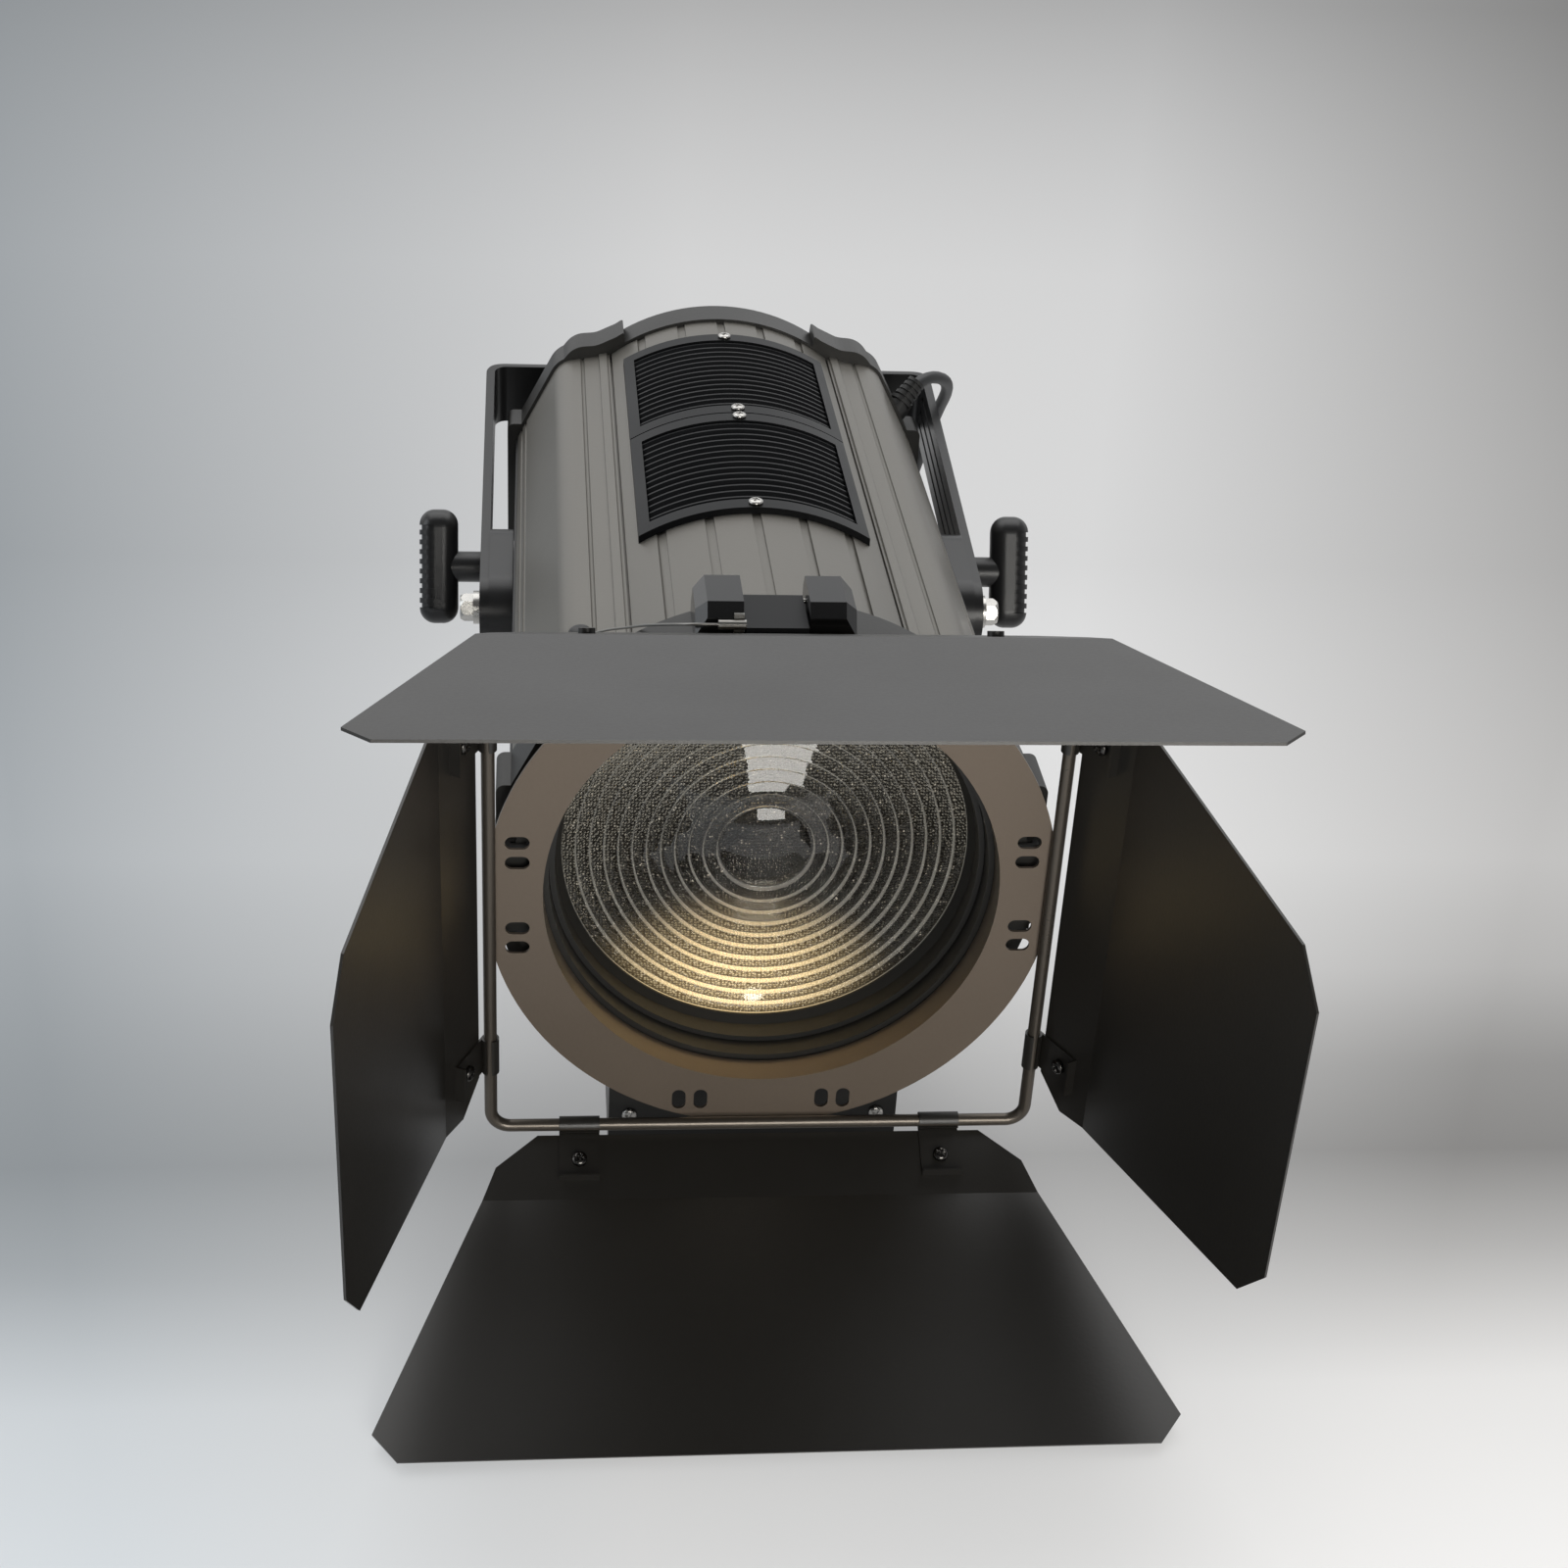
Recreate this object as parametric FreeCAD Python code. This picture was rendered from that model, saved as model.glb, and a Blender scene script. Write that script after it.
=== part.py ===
"""LED fresnel spotlight with a rotating four-leaf barn door, tilting yoke and motor zoom.

The model is drawn in the lens frame: X to the right seen from the front, Y from the front to the back along
the lens axis, Z up, with zero on the lens axis at the front face of the barn door's ring. Every solid is
moved at the end, so that the part stands on its base with the origin below the tilt pivot.
Lengths are millimetres and angles are degrees.
"""

import FreeCAD, Part
import math
import os
from FreeCAD import Vector as V

os.makedirs("parts", exist_ok=True)

# Housing: extruded body between two cast end caps
BODY_START_Y = 46.0
BODY_END_Y = 441.0
WALL = 2.6
DOME_RADIUS = 105.0
SEAM_HALF_X = 63.5
SEAM_Z = 92.2
SEAM_GAP = 1.2
SHOULDER_X = 93.0
SHOULDER_Z = 87.5
WIDEST_X = 117.6
WIDEST_TOP_Z = 40.0
WIDEST_BOTTOM_Z = -22.0
FLANK_X = 99.0
FLANK_Z = -74.0
BELLY_X = 72.0
BELLY_Z = -112.0
SHOULDER_ROUND = 14.0
WIDEST_ROUND = 4.0
FLANK_ROUND = 20.0
BELLY_ROUND = 8.0
GROOVE_WIDTH = 4.5
GROOVE_DEPTH = 1.1
GROOVE_PITCH = 23.0
GROOVE_COUNT = 5
LEDGE_WIDTH = 7.0
LEDGE_THICK = 2.0
RIDGE_WIDTH = 5.0
RIDGE_HEIGHT = 1.4
SIDE_GROOVE_RADIUS = 1.2
BAND_GROOVE_X = 80.0
FLANK_GROOVE_DROP = 9.0
FLANK_GROOVE_SHARES = (0.5, 1.0)
EDGE_STRIP_HEIGHT = 7.0
EDGE_STRIP_PROUD = 1.2
TRAY_HALF_X = 58.0

# Vent grilles on the dome
VENT_FRONT_Y = 167.0
VENT_SPLIT_Y = 290.5
VENT_REAR_MARGIN = 30.0
VENT_BACK_Y = BODY_END_Y - VENT_REAR_MARGIN
VENT_HALF_X = 57.0
VENT_OPEN_HALF_X = 51.5
VENT_END = 10.0
VENT_PROUD = 3.4
VENT_WINDOW_SHRINK = 2.0
VENT_GAP = 0.6
SLAT_COUNT = 14
SLAT_THICK = 1.5
SLAT_SPREAD = 3.2
SLAT_RISE = 2.4

# End caps
FRONT_CAP_Y = 16.0
FRONT_CAP_PROUD = 4.0
COLLAR_RADIUS = 126.0
BARREL_RADIUS = 101.0
REAR_CAP_LENGTH = 23.0
REAR_CAP_PROUD = 1.8
HORN_X = 54.5
HORN_WIDTH = 3.0
HORN_Z = 106.0
VALLEY_X = 72.0
VALLEY_Z = 97.5
LOBE_X = 85.0
LOBE_Z = 96.5
LOBE_END_X = 97.5
LOBE_END_Z = 80.0
CAP_OVERLAP = 5.0
CAP_WALL = 3.2
CAP_LIP = 4.0
PANEL_THICK = 2.0
PANEL_RECESS = 2.0
EAR_PROUD = 7.0
EAR_TOP_Z = 48.0
EAR_BOTTOM_Z = -28.0
EAR_ROUND = 4.0

# Barn door: ring, wire frame and leaves
RING_FLAT_HALF = 125.6
RING_RADIUS = 129.5
RING_HOLE_RADIUS = 103.65
SHEET = 1.2
RING_SHEET = 1.5
LIP_DEPTH = 15.0
LIP_ROLL = 3.6
SLOT_LENGTH = 11.0
SLOT_WIDTH = 6.5
SLOT_REACH = 115.0
SLOT_PAIR_OFFSET = 5.15
SIDE_SLOT_SPACING = 22.5
END_SLOT_SPACING = 34.0
ROD_RADIUS = 3.0
ROD_SINK = 0.1
ROD_CORNER = 9.0
ROD_Y = -2.2
CLIP_SHEET = 1.0
LEAF_PANEL_DEPTH = 60.0
LEAF_FOLD = 13.9
FOLD_REACH = 36.8
LEAF_ROOT_REACH = 3.6
LEAF_SHOULDER_REACH = 19.9
WIDE_ROOT_HALF = 105.7
WIDE_SHOULDER_HALF = 125.2
WIDE_FOLD_HALF = 131.3
WIDE_SPREAD_HALF = 175.8
WIDE_SPREAD_REACH = 161.7
WIDE_TIP_HALF = 164.6
WIDE_TIP_REACH = 175.7
NARROW_ROOT_HALF = 98.0
NARROW_SHOULDER_HALF = 111.0
NARROW_FOLD_HALF = 109.5
NARROW_SPREAD_HALF = 86.5
NARROW_SPREAD_REACH = 179.0
NARROW_TIP_HALF = 66.0
NARROW_TIP_REACH = 196.0
WIDE_REST_ANGLE = 25.1
LEFT_REST_ANGLE = 25.9
RIGHT_REST_ANGLE = 28.6
CLIP_PLACE = 86.0
CLIP_WIDTH = 19.0
CLIP_LENGTH = 27.0
CLIP_FOOT = 4.0
CLIP_GAP = 0.05
CLIP_SCREW_REACH = 17.0
CLIP_SLIT = 2.4
SCREW_HEAD_RADIUS = 3.6
SCREW_HEAD_HEIGHT = 2.2
SCREW_SHANK_RADIUS = 1.95
SCREW_HOLE_GAP = 0.3

# Yoke and its fastenings
PIVOT_Y = 318.0
PIVOT_Z = 12.3
YOKE_REST_ANGLE = 8.5
YOKE_SWING_GAP = 46.0
YOKE_WIDTH = 38.0
YOKE_THICK = 5.0
YOKE_INNER_HALF = 132.0
YOKE_BEND = 12.0
YOKE_HOLE_RADIUS = 6.5
YOKE_GROOVE_WIDTH = 3.0
YOKE_GROOVE_DEPTH = 0.8
YOKE_GROOVE_PITCH = 9.0
HUB_BOLT_AHEAD = 39.6
HUB_HALF_HEIGHT = 21.0
HUB_CLEAR = 0.3
STUD_RADIUS = 4.95
STUD_FIT = 0.05
STUD_CLEAR = 0.35
BOSS_RADIUS = 15.0
BOSS_DEPTH = 12.0
BOSS_FACE_X = 119.0
KNOB_COLLAR_RADIUS = 8.5
GRIP_START_X = 149.8
GRIP_END_X = 171.0
GRIP_LENGTH = 63.0
GRIP_TILT = 24.5
GRIP_NOTCHES = 9
GRIP_NOTCH_REACH = 9.0
HEX_ACROSS = 13.0
HEX_HEIGHT = 7.1
HEX_SHANK_RADIUS = 3.9
WASHER_RADIUS = 9.0
WASHER_THICK = 3.6
GRIP_DEPTH = 20.0
GRIP_ROUND = 8.5
GRIP_NOTCH_WIDTH = 2.6
GRIP_NOTCH_DEPTH = 1.2
HUB_BOLT_DEPTH = 9.0

# Mains cord, its gland and its plug; the depth of each place is measured from the rear cap's back face
CORD_RADIUS = 3.75
CORD_LENGTH = 1500.0
ARC_SHARE = 0.45
GLAND_PLACE = (110.0, -11.5, 58.0)
GLAND_WAY = (0.62, 0.41, 0.67)
GLAND_RADIUS = 7.5
GLAND_DEPTH = 6.0
GLAND_LENGTH = 20.0
GLAND_TIP_RADIUS = 5.6
GLAND_RIBS = 5
GLAND_RIB_WIDTH = 2.0
GLAND_RIB_DEPTH = 1.2
CORD_START = 9.0
CORD_CREST = 26.0
CORD_OVER_ARM = (148.5, 18.0, 64.5)
CORD_BELOW_ARM = (145.0, 58.0, 24.0)
CORD_BEHIND = (126.0, 68.0, -60.0)
CORD_FLOOR_RUN = 63.0
COIL_CENTRE = (60.0, 134.0)
COIL_OUTER = 45.0
COIL_HALF_STEP = 4.1
COIL_RISE = 8.0
COIL_HALF_TURNS = 4
GAP_SAMPLE_DIAMETERS = 4
PLUG_BODY_RADIUS = 11.75
PLUG_BODY_LENGTH = 34.0
PLUG_NECK_LENGTH = 16.0
PLUG_NECK_RADIUS = 6.0
PLUG_FACE = 4.0
BLADE_LENGTH = 17.5
BLADE_HEIGHT = 6.3
BLADE_THICK = 1.5
BLADE_HALF_SPACING = 6.35
BLADE_DROP = 3.5
EARTH_PIN_RADIUS = 2.4
EARTH_PIN_LENGTH = 20.0
EARTH_PIN_RISE = 7.0

# Optics and accessory holder
LENS_Y = 40.0
LENS_THICK = 5.0
LENS_STEPS = 12
LENS_STEP_DEPTH = 1.6
LENS_CENTRE_RADIUS = 22.6
BEZEL_DEPTH = 10.0
BEZEL_INNER_RADIUS = 95.0
HOLDER_PLATE_Y = 8.0
HOLDER_PLATE_RADIUS = 118.0
HOLDER_GAP = 0.3
BRACKET_WIDTH = 46.0
BRACKET_REACH = 7.0

# Catch on top of the collar, and the safety wire beside it
CATCH_MIDDLE_X = -4.0
CATCH_INNER_X = 14.3
CATCH_OUTER_X = 35.0
CATCH_FRONT_Y = 11.0
CATCH_BACK_Y = 45.0
CATCH_LOW_Z = 116.0
CATCH_FACET_Z = 134.0
CATCH_TOP_Z = 140.0
CATCH_FACET = 4.0
CATCH_SIDE_FACET = 5.0
CATCH_PLATE_GAP = 0.8
CATCH_PLATE_FRONT_Y = 6.0
CATCH_HOOK_THICK = 1.7
CATCH_HOOK_BITE = 2.0
CATCH_PIN_Y = 38.0
CATCH_PIN_Z = 129.2
CATCH_PIN_RADIUS = 1.2
CATCH_KNUCKLE_RADIUS = 2.6
WIRE_RADIUS = 0.6
ANCHOR_X = -86.5
ANCHOR_Y = 80.0
ANCHOR_RADIUS = 5.5
ANCHOR_HEIGHT = 6.0
ANCHOR_ROUND = 3.5
FERRULE_RADIUS = 2.2
FERRULE_LENGTH = 12.0
LUG_THICK = 1.6
WIRE_ROUTE = (
    (-82.5, 77.0, 92.5),
    (-74.0, 68.0, 99.5),
    (-66.0, 57.0, 106.0),
    (-60.0, 44.0, 113.6),
    (-53.0, 27.0, 122.6),
    (-46.0, 13.5, 129.5),
    (-40.0, 8.6, 132.0),
    (-29.5, 8.4, 132.1),
)

# Rear panel and what it carries
FAN_Z = 22.0
FAN_SIZE = 92.0
FAN_DEPTH = 25.0
FAN_WALL = 2.4
FAN_HUB_RADIUS = 18.0
FAN_BLADE_COUNT = 7
FAN_BLADE_CHORD = 22.0
FAN_BLADE_THICK = 1.8
FAN_BLADE_PITCH = 35.0
FAN_TIP_GAP = 2.0
FAN_SHAFT_RADIUS = 2.5
FAN_SPIDER = 3.0
FAN_STRUT = 5.0
GUARD_RING_COUNT = 4
GUARD_BAR = 3.0
GUARD_SPOKE = 5.0
DISPLAY_X = -42.0
DISPLAY_Z = -50.0
DISPLAY_WIDTH = 46.0
DISPLAY_HEIGHT = 20.0
DISPLAY_PROUD = 0.8
BUTTON_RADIUS = 3.5
BUTTON_GAP = 0.3
BUTTON_PITCH = 13.0
BUTTON_Z = -73.0
BUTTON_FIRST_X = -61.5
BUTTON_COUNT = 4
BUTTON_PROUD = 3.0
BUTTON_DEPTH = 4.0
BUTTON_FLANGE = 1.2
BUTTON_TRAVEL = 1.5
SOCKET_RADIUS = 11.8
SOCKET_PROUD = 1.6
SOCKET_DEPTH = 18.0
SOCKET_PINS = 3
SOCKET_PIN_RADIUS = 1.2
SOCKET_BORE = 8.0
SOCKET_WELL = 12.0
SOCKET_FIRST_X = 26.0
SOCKET_SECOND_X = 58.0
SOCKET_Z = -62.0

# Base
BASE_Z = -179.0
PAD_THICK = 4.0
BOX_HALF_X = 71.0
BOX_FRONT_Y = 30.0
BOX_REAR_STEP = 5.0
BOX_BACK_Y = BODY_END_Y - BOX_REAR_STEP
BOX_ROUND = 6.0
BOX_WALL = 2.0
PAD_HALF_X = 60.0
PAD_INSET = 14.0
BOX_SCREW_LENGTH = 8.0
BOX_SCREW_X = 61.0
BOX_SCREW_Z = -147.0
SUPPLY_WIDTH = 110.0
SUPPLY_HEIGHT = 42.0
SUPPLY_LENGTH = 215.0
SUPPLY_START_Y = 120.0
SUPPLY_FIN_COUNT = 8
SUPPLY_FIN = 4.0

# Zoom carriage and its drive
RAIL_X = 78.0
RAIL_Z = -76.0
RAIL_RADIUS = 4.0
RAIL_FIT = 0.05
RAIL_SOCKET = 8.0
BULKHEAD_SET_IN = 51.0
BULKHEAD_Y = BODY_END_Y - BULKHEAD_SET_IN
BULKHEAD_THICK = 3.0
BULKHEAD_OPEN_RADIUS = 52.0
BULKHEAD_OPEN_Z = -8.0
BULKHEAD_FOOT = 18.0
BULKHEAD_FOOT_HALF = 60.0
SCREW_Z = -87.5
SCREW_RADIUS = 4.0
SCREW_START_Y = 62.0
MOTOR_SIZE = 42.0
MOTOR_LENGTH = 40.0
MOTOR_CORNER = 4.0
THREAD_PITCH = 20.0
THREAD_WIDTH = 2.0
THREAD_DEPTH = 0.8
COUPLER_RADIUS = 9.0
COUPLER_LENGTH = 22.0
CARRIAGE_Y = 170.0
CARRIAGE_THICK = 5.0
CARRIAGE_RADIUS = 70.0
CARRIAGE_EAR_RADIUS = 11.0
CARRIAGE_ARM_SPLIT = 3
CARRIAGE_ARM_SHARE = 4
SINK_SIZE = 110.0
SINK_BASE = 8.0
SINK_DEPTH = 62.0
SINK_FIN = 2.0
SINK_FIN_COUNT = 13
BOARD_RADIUS = 38.0
BOARD_THICK = 3.0
DOME_LENS_RADIUS = 20.0
DOME_LENS_RING = 26.0
DOME_LENS_SEAT = 4.0
NUT_RADIUS = 9.0
NUT_LENGTH = 14.0

# General clearances and shares
HEAD_TOP_SHARE = 0.9
LEAF_CUT_SHARE = 1.2
CLIP_SLIT_SPLIT = 3
CUT = 1.0
FIT = 0.2


def moved(shape, x=0.0, y=0.0, z=0.0):
    """A copy of the shape, shifted."""
    copy = shape.copy()
    copy.translate(V(x, y, z))
    return copy


def turned(shape, centre, axis, degrees):
    """A copy of the shape, turned about an axis."""
    copy = shape.copy()
    copy.rotate(centre, axis, degrees)
    return copy


def mirrored(shape, across=V(1, 0, 0)):
    """The shape reflected in a plane through the lens axis."""
    return shape.mirror(V(0, 0, 0), across)


def fused(shapes):
    """All the shapes joined into one."""
    first, rest = shapes[0], shapes[1:]
    return first.fuse(rest).removeSplitter() if rest else first


def cut_by(shape, tools):
    """The shape with all the tools taken away."""
    return shape.cut(tools)


def block(x, y, z):
    """A box from three (low, high) pairs."""
    return Part.makeBox(x[1] - x[0], y[1] - y[0], z[1] - z[0], V(x[0], y[0], z[0]))


def rod(start, end, radius):
    """A round bar between two points."""
    way = end - start
    return Part.makeCylinder(radius, way.Length, start, way)


def tube(start, end, outer, inner):
    """A round tube between two points."""
    way = end - start
    core = Part.makeCylinder(inner, way.Length + 2 * CUT, start - way.normalize() * CUT, way)
    return rod(start, end, outer).cut(core)


def rounded(points, radii):
    """A closed wire through the corner points, each corner rounded by its own radius."""
    edges = []
    count = len(points)
    places = []
    for i in range(count):
        before, here, after = points[i - 1], points[i], points[(i + 1) % count]
        radius = radii[i]
        back, ahead = (before - here).normalize(), (after - here).normalize()
        if radius <= 0:
            places.append((here, here, None))
            continue
        half = back.getAngle(ahead) / 2
        reach = radius / math.tan(half)
        middle_way = (back + ahead).normalize()
        centre = here + middle_way * (radius / math.sin(half))
        places.append((here + back * reach, here + ahead * reach, centre - middle_way * radius))
    for i in range(count):
        arrive, leave, middle = places[i]
        if middle is not None:
            edges.append(Part.Arc(arrive, middle, leave).toShape())
        arrive_next = places[(i + 1) % count][0]
        if leave.distanceToPoint(arrive_next) > 1e-6:
            edges.append(Part.LineSegment(leave, arrive_next).toShape())
    return Part.Wire(edges)


def prism(wire, way):
    """A solid swept straight from a closed wire."""
    return Part.Face(wire).extrude(way)


def mirror_half(half):
    """Corner points on the right, from the top down, joined with their mirror images."""
    return half + [V(-p.x, p.y, p.z) for p in reversed(half)]


def body_half(y):
    """The corners of the extruded body's right side at one station."""
    corners = (
        (SEAM_HALF_X, SEAM_Z),
        (SHOULDER_X, SHOULDER_Z),
        (WIDEST_X, WIDEST_TOP_Z),
        (WIDEST_X, WIDEST_BOTTOM_Z),
        (FLANK_X, FLANK_Z),
        (BELLY_X, BELLY_Z),
    )
    return [V(x, y, z) for x, z in corners]


def body_lower(y_low, y_high, grow=0.0):
    """The body below the dome as one solid, its walls moved outwards by grow."""
    half = [0, SHOULDER_ROUND, WIDEST_ROUND, FLANK_ROUND, FLANK_ROUND, BELLY_ROUND]
    wire = rounded(mirror_half(body_half(y_low)), half + half[::-1])
    face = Part.Face(wire)
    if grow:
        face = face.makeOffset2D(grow, 2)
    return face.extrude(V(0, y_high - y_low, 0))


def dome_centre_z():
    """The height of the dome's axis."""
    return SEAM_Z - math.sqrt(DOME_RADIUS**2 - SEAM_HALF_X**2)


def dome(y_low, y_high, grow=0.0, half_x=SEAM_HALF_X):
    """The domed part of the body above the seams, grown outwards by grow."""
    axis = dome_centre_z()
    barrel = rod(V(0, y_low, axis), V(0, y_high, axis), DOME_RADIUS + grow)
    slab = block(
        (-half_x, half_x),
        (y_low - CUT, y_high + CUT),
        (axis + DOME_RADIUS / 2, axis + 2 * DOME_RADIUS),
    )
    return barrel.common(slab)


def body_outer(y_low, y_high, grow=0.0):
    """The whole body's outer form, grown by grow."""
    return fused([body_lower(y_low, y_high, grow), dome(y_low, y_high, grow)])


def dome_height(x, grow=0.0):
    """How high the dome's surface stands at one distance from the middle."""
    return dome_centre_z() + math.sqrt((DOME_RADIUS + grow)**2 - x**2)


def band_height(x):
    """How high the flat band between seam and shoulder stands."""
    share = (x - SEAM_HALF_X) / (SHOULDER_X - SEAM_HALF_X)
    return SEAM_Z + share * (SHOULDER_Z - SEAM_Z)


def flank_x(z):
    """Where the slanted upper side wall stands at one height."""
    share = (SHOULDER_Z - z) / (SHOULDER_Z - WIDEST_TOP_Z)
    return SHOULDER_X + share * (WIDEST_X - SHOULDER_X)


def vents():
    """The two vents as (front, back) stations of their frames."""
    return ((VENT_FRONT_Y, VENT_SPLIT_Y - VENT_GAP), (VENT_SPLIT_Y + VENT_GAP, VENT_BACK_Y))


def vent_screw_places():
    """The middles of the frames' end bars."""
    places = []
    for front, back in vents():
        for y in (front + VENT_END / 2, back - VENT_END / 2):
            places.append(V(0, y, DOME_RADIUS + dome_centre_z() + VENT_PROUD))
    return places


def top_cover():
    """The domed cover: a curved sheet with long grooves and a window below each vent."""
    half_x = SEAM_HALF_X - SEAM_GAP / 2
    shell = dome(BODY_START_Y, BODY_END_Y, 0.0, half_x)
    shell = shell.cut(dome(BODY_START_Y - CUT, BODY_END_Y + CUT, -WALL, SEAM_HALF_X + CUT))
    skin = dome(BODY_START_Y - CUT, BODY_END_Y + CUT, CUT).cut(
        dome(BODY_START_Y - 2 * CUT, BODY_END_Y + 2 * CUT, -GROOVE_DEPTH, SEAM_HALF_X + CUT)
    )
    tools = []
    for i in range(GROOVE_COUNT):
        middle = (i - (GROOVE_COUNT - 1) / 2) * GROOVE_PITCH
        lane = block(
            (middle - GROOVE_WIDTH / 2, middle + GROOVE_WIDTH / 2),
            (BODY_START_Y - CUT, BODY_END_Y + CUT),
            (dome_centre_z(), 2 * DOME_RADIUS),
        )
        tools.append(skin.common(lane))
    window_half = VENT_OPEN_HALF_X + VENT_WINDOW_SHRINK
    for front, back in vents():
        tools.append(
            block(
                (-window_half, window_half),
                (front + VENT_END - VENT_WINDOW_SHRINK, back - VENT_END + VENT_WINDOW_SHRINK),
                (dome_centre_z(), 2 * DOME_RADIUS),
            )
        )
    for place in vent_screw_places():
        tools.append(rod(V(0, place.y, dome_centre_z()), place, SCREW_SHANK_RADIUS + SCREW_HOLE_GAP))
    return cut_by(shell, tools)


def side_cover(side):
    """A side extrusion from the seam round the shoulder and the flank to the belly."""
    shell = body_lower(BODY_START_Y, BODY_END_Y).cut(
        body_lower(BODY_START_Y - CUT, BODY_END_Y + CUT, -WALL)
    )
    seam_x = SEAM_HALF_X + SEAM_GAP / 2
    upper = block((seam_x, 2 * WIDEST_X), (BODY_START_Y, BODY_END_Y), (0, SEAM_Z + CUT))
    lower = block((TRAY_HALF_X + FIT, 2 * WIDEST_X), (BODY_START_Y, BODY_END_Y), (BELLY_Z - CUT, 0))
    ledge_top = dome_height(SEAM_HALF_X - SEAM_GAP / 2, -WALL) - FIT / 2
    between_plugs = (BODY_START_Y + CAP_OVERLAP + FIT, BODY_END_Y - CAP_OVERLAP - FIT)
    ledge = block(
        (SEAM_HALF_X - LEDGE_WIDTH, seam_x + WALL),
        between_plugs,
        (ledge_top - LEDGE_THICK, ledge_top),
    )
    web = block(
        (seam_x, seam_x + WALL),
        between_plugs,
        (ledge_top - LEDGE_THICK, band_height(seam_x + WALL)),
    )
    ridge_low, ridge_high = seam_x + RIDGE_HEIGHT, seam_x + RIDGE_HEIGHT + RIDGE_WIDTH
    ridge = rounded(
        [
            V(ridge_low, BODY_START_Y, band_height(ridge_low) - RIDGE_HEIGHT),
            V(ridge_low, BODY_START_Y, band_height(ridge_low) + RIDGE_HEIGHT),
            V(ridge_high, BODY_START_Y, band_height(ridge_high) + RIDGE_HEIGHT),
            V(ridge_high, BODY_START_Y, band_height(ridge_high) - RIDGE_HEIGHT),
        ],
        [0, RIDGE_HEIGHT / 2, RIDGE_HEIGHT / 2, 0],
    )
    shape = fused(
        [shell.common(fused([upper, lower])), ledge, web, prism(ridge, V(0, BODY_END_Y - BODY_START_Y, 0))]
    )
    grooves = [(BAND_GROOVE_X, band_height(BAND_GROOVE_X))]
    for share in FLANK_GROOVE_SHARES:
        z = WIDEST_TOP_Z + share * FLANK_GROOVE_DROP
        grooves.append((flank_x(z), z))
    tools = [
        rod(V(x, BODY_START_Y - CUT, z), V(x, BODY_END_Y + CUT, z), SIDE_GROOVE_RADIUS)
        for x, z in grooves
    ]
    tools.append(
        rod(
            V(WIDEST_X - 2 * WALL, PIVOT_Y, PIVOT_Z),
            V(WIDEST_X + CUT, PIVOT_Y, PIVOT_Z),
            BOSS_RADIUS + FIT / 2,
        )
    )
    shape = cut_by(shape, tools)
    return shape if side > 0 else mirrored(shape)


def edge_strips():
    """The two black strips along the widest line of the body."""
    strip = rounded(
        [
            V(WIDEST_X, BODY_START_Y, WIDEST_TOP_Z - EDGE_STRIP_HEIGHT - WIDEST_ROUND / 2),
            V(
                WIDEST_X + EDGE_STRIP_PROUD,
                BODY_START_Y,
                WIDEST_TOP_Z - EDGE_STRIP_HEIGHT - WIDEST_ROUND / 2,
            ),
            V(WIDEST_X + EDGE_STRIP_PROUD, BODY_START_Y, WIDEST_TOP_Z - WIDEST_ROUND / 2),
            V(WIDEST_X, BODY_START_Y, WIDEST_TOP_Z - WIDEST_ROUND / 2),
        ],
        [0, EDGE_STRIP_PROUD / 2, EDGE_STRIP_PROUD / 2, 0],
    )
    right = prism(strip, V(0, BODY_END_Y - BODY_START_Y, 0))
    return Part.makeCompound([right, mirrored(right)])


def bottom_tray():
    """The flat bottom of the body, lipped inside the side covers."""
    shell = body_lower(BODY_START_Y, BODY_END_Y).cut(
        body_lower(BODY_START_Y - CUT, BODY_END_Y + CUT, -WALL)
    )
    return shell.common(block((-TRAY_HALF_X, TRAY_HALF_X), (BODY_START_Y, BODY_END_Y), (BELLY_Z - CUT, 0)))


def vent_grille(front, back):
    """A louvre: a raised curved frame with tilted slats, all following the dome."""
    axis = V(0, 0, dome_centre_z())
    frame = dome(front, back, VENT_PROUD, VENT_HALF_X).cut(dome(front - CUT, back + CUT, 0.0))
    window = block(
        (-VENT_OPEN_HALF_X, VENT_OPEN_HALF_X),
        (front + VENT_END, back - VENT_END),
        (0, 2 * DOME_RADIUS),
    )
    frame = frame.cut(window)
    spread = math.degrees(math.asin((VENT_OPEN_HALF_X + WALL / 2) / DOME_RADIUS))
    pitch = (back - front - 2 * VENT_END) / SLAT_COUNT
    top = DOME_RADIUS + dome_centre_z()
    solids = [frame]
    for i in range(SLAT_COUNT):
        y = front + VENT_END + (i + 0.5) * pitch
        corners = (
            (y - SLAT_SPREAD / 2, top - 0.0),
            (y - SLAT_SPREAD / 2 + SLAT_THICK, top),
            (y + SLAT_SPREAD / 2 + SLAT_THICK / 2, top + SLAT_RISE),
            (y + SLAT_SPREAD / 2 - SLAT_THICK / 2, top + SLAT_RISE),
        )
        wire = Part.makePolygon([V(0, a, b) for a, b in corners + corners[:1]])
        face = turned(Part.Face(wire), axis, V(0, 1, 0), -spread)
        solids.append(face.revolve(axis, V(0, 1, 0), 2 * spread))
    grille = fused(solids)
    tools = []
    for place in vent_screw_places():
        if front < place.y < back:
            tools.append(rod(V(0, place.y, 0), place + V(0, 0, CUT), SCREW_SHANK_RADIUS + SCREW_HOLE_GAP))
    return cut_by(grille, tools)


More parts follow.
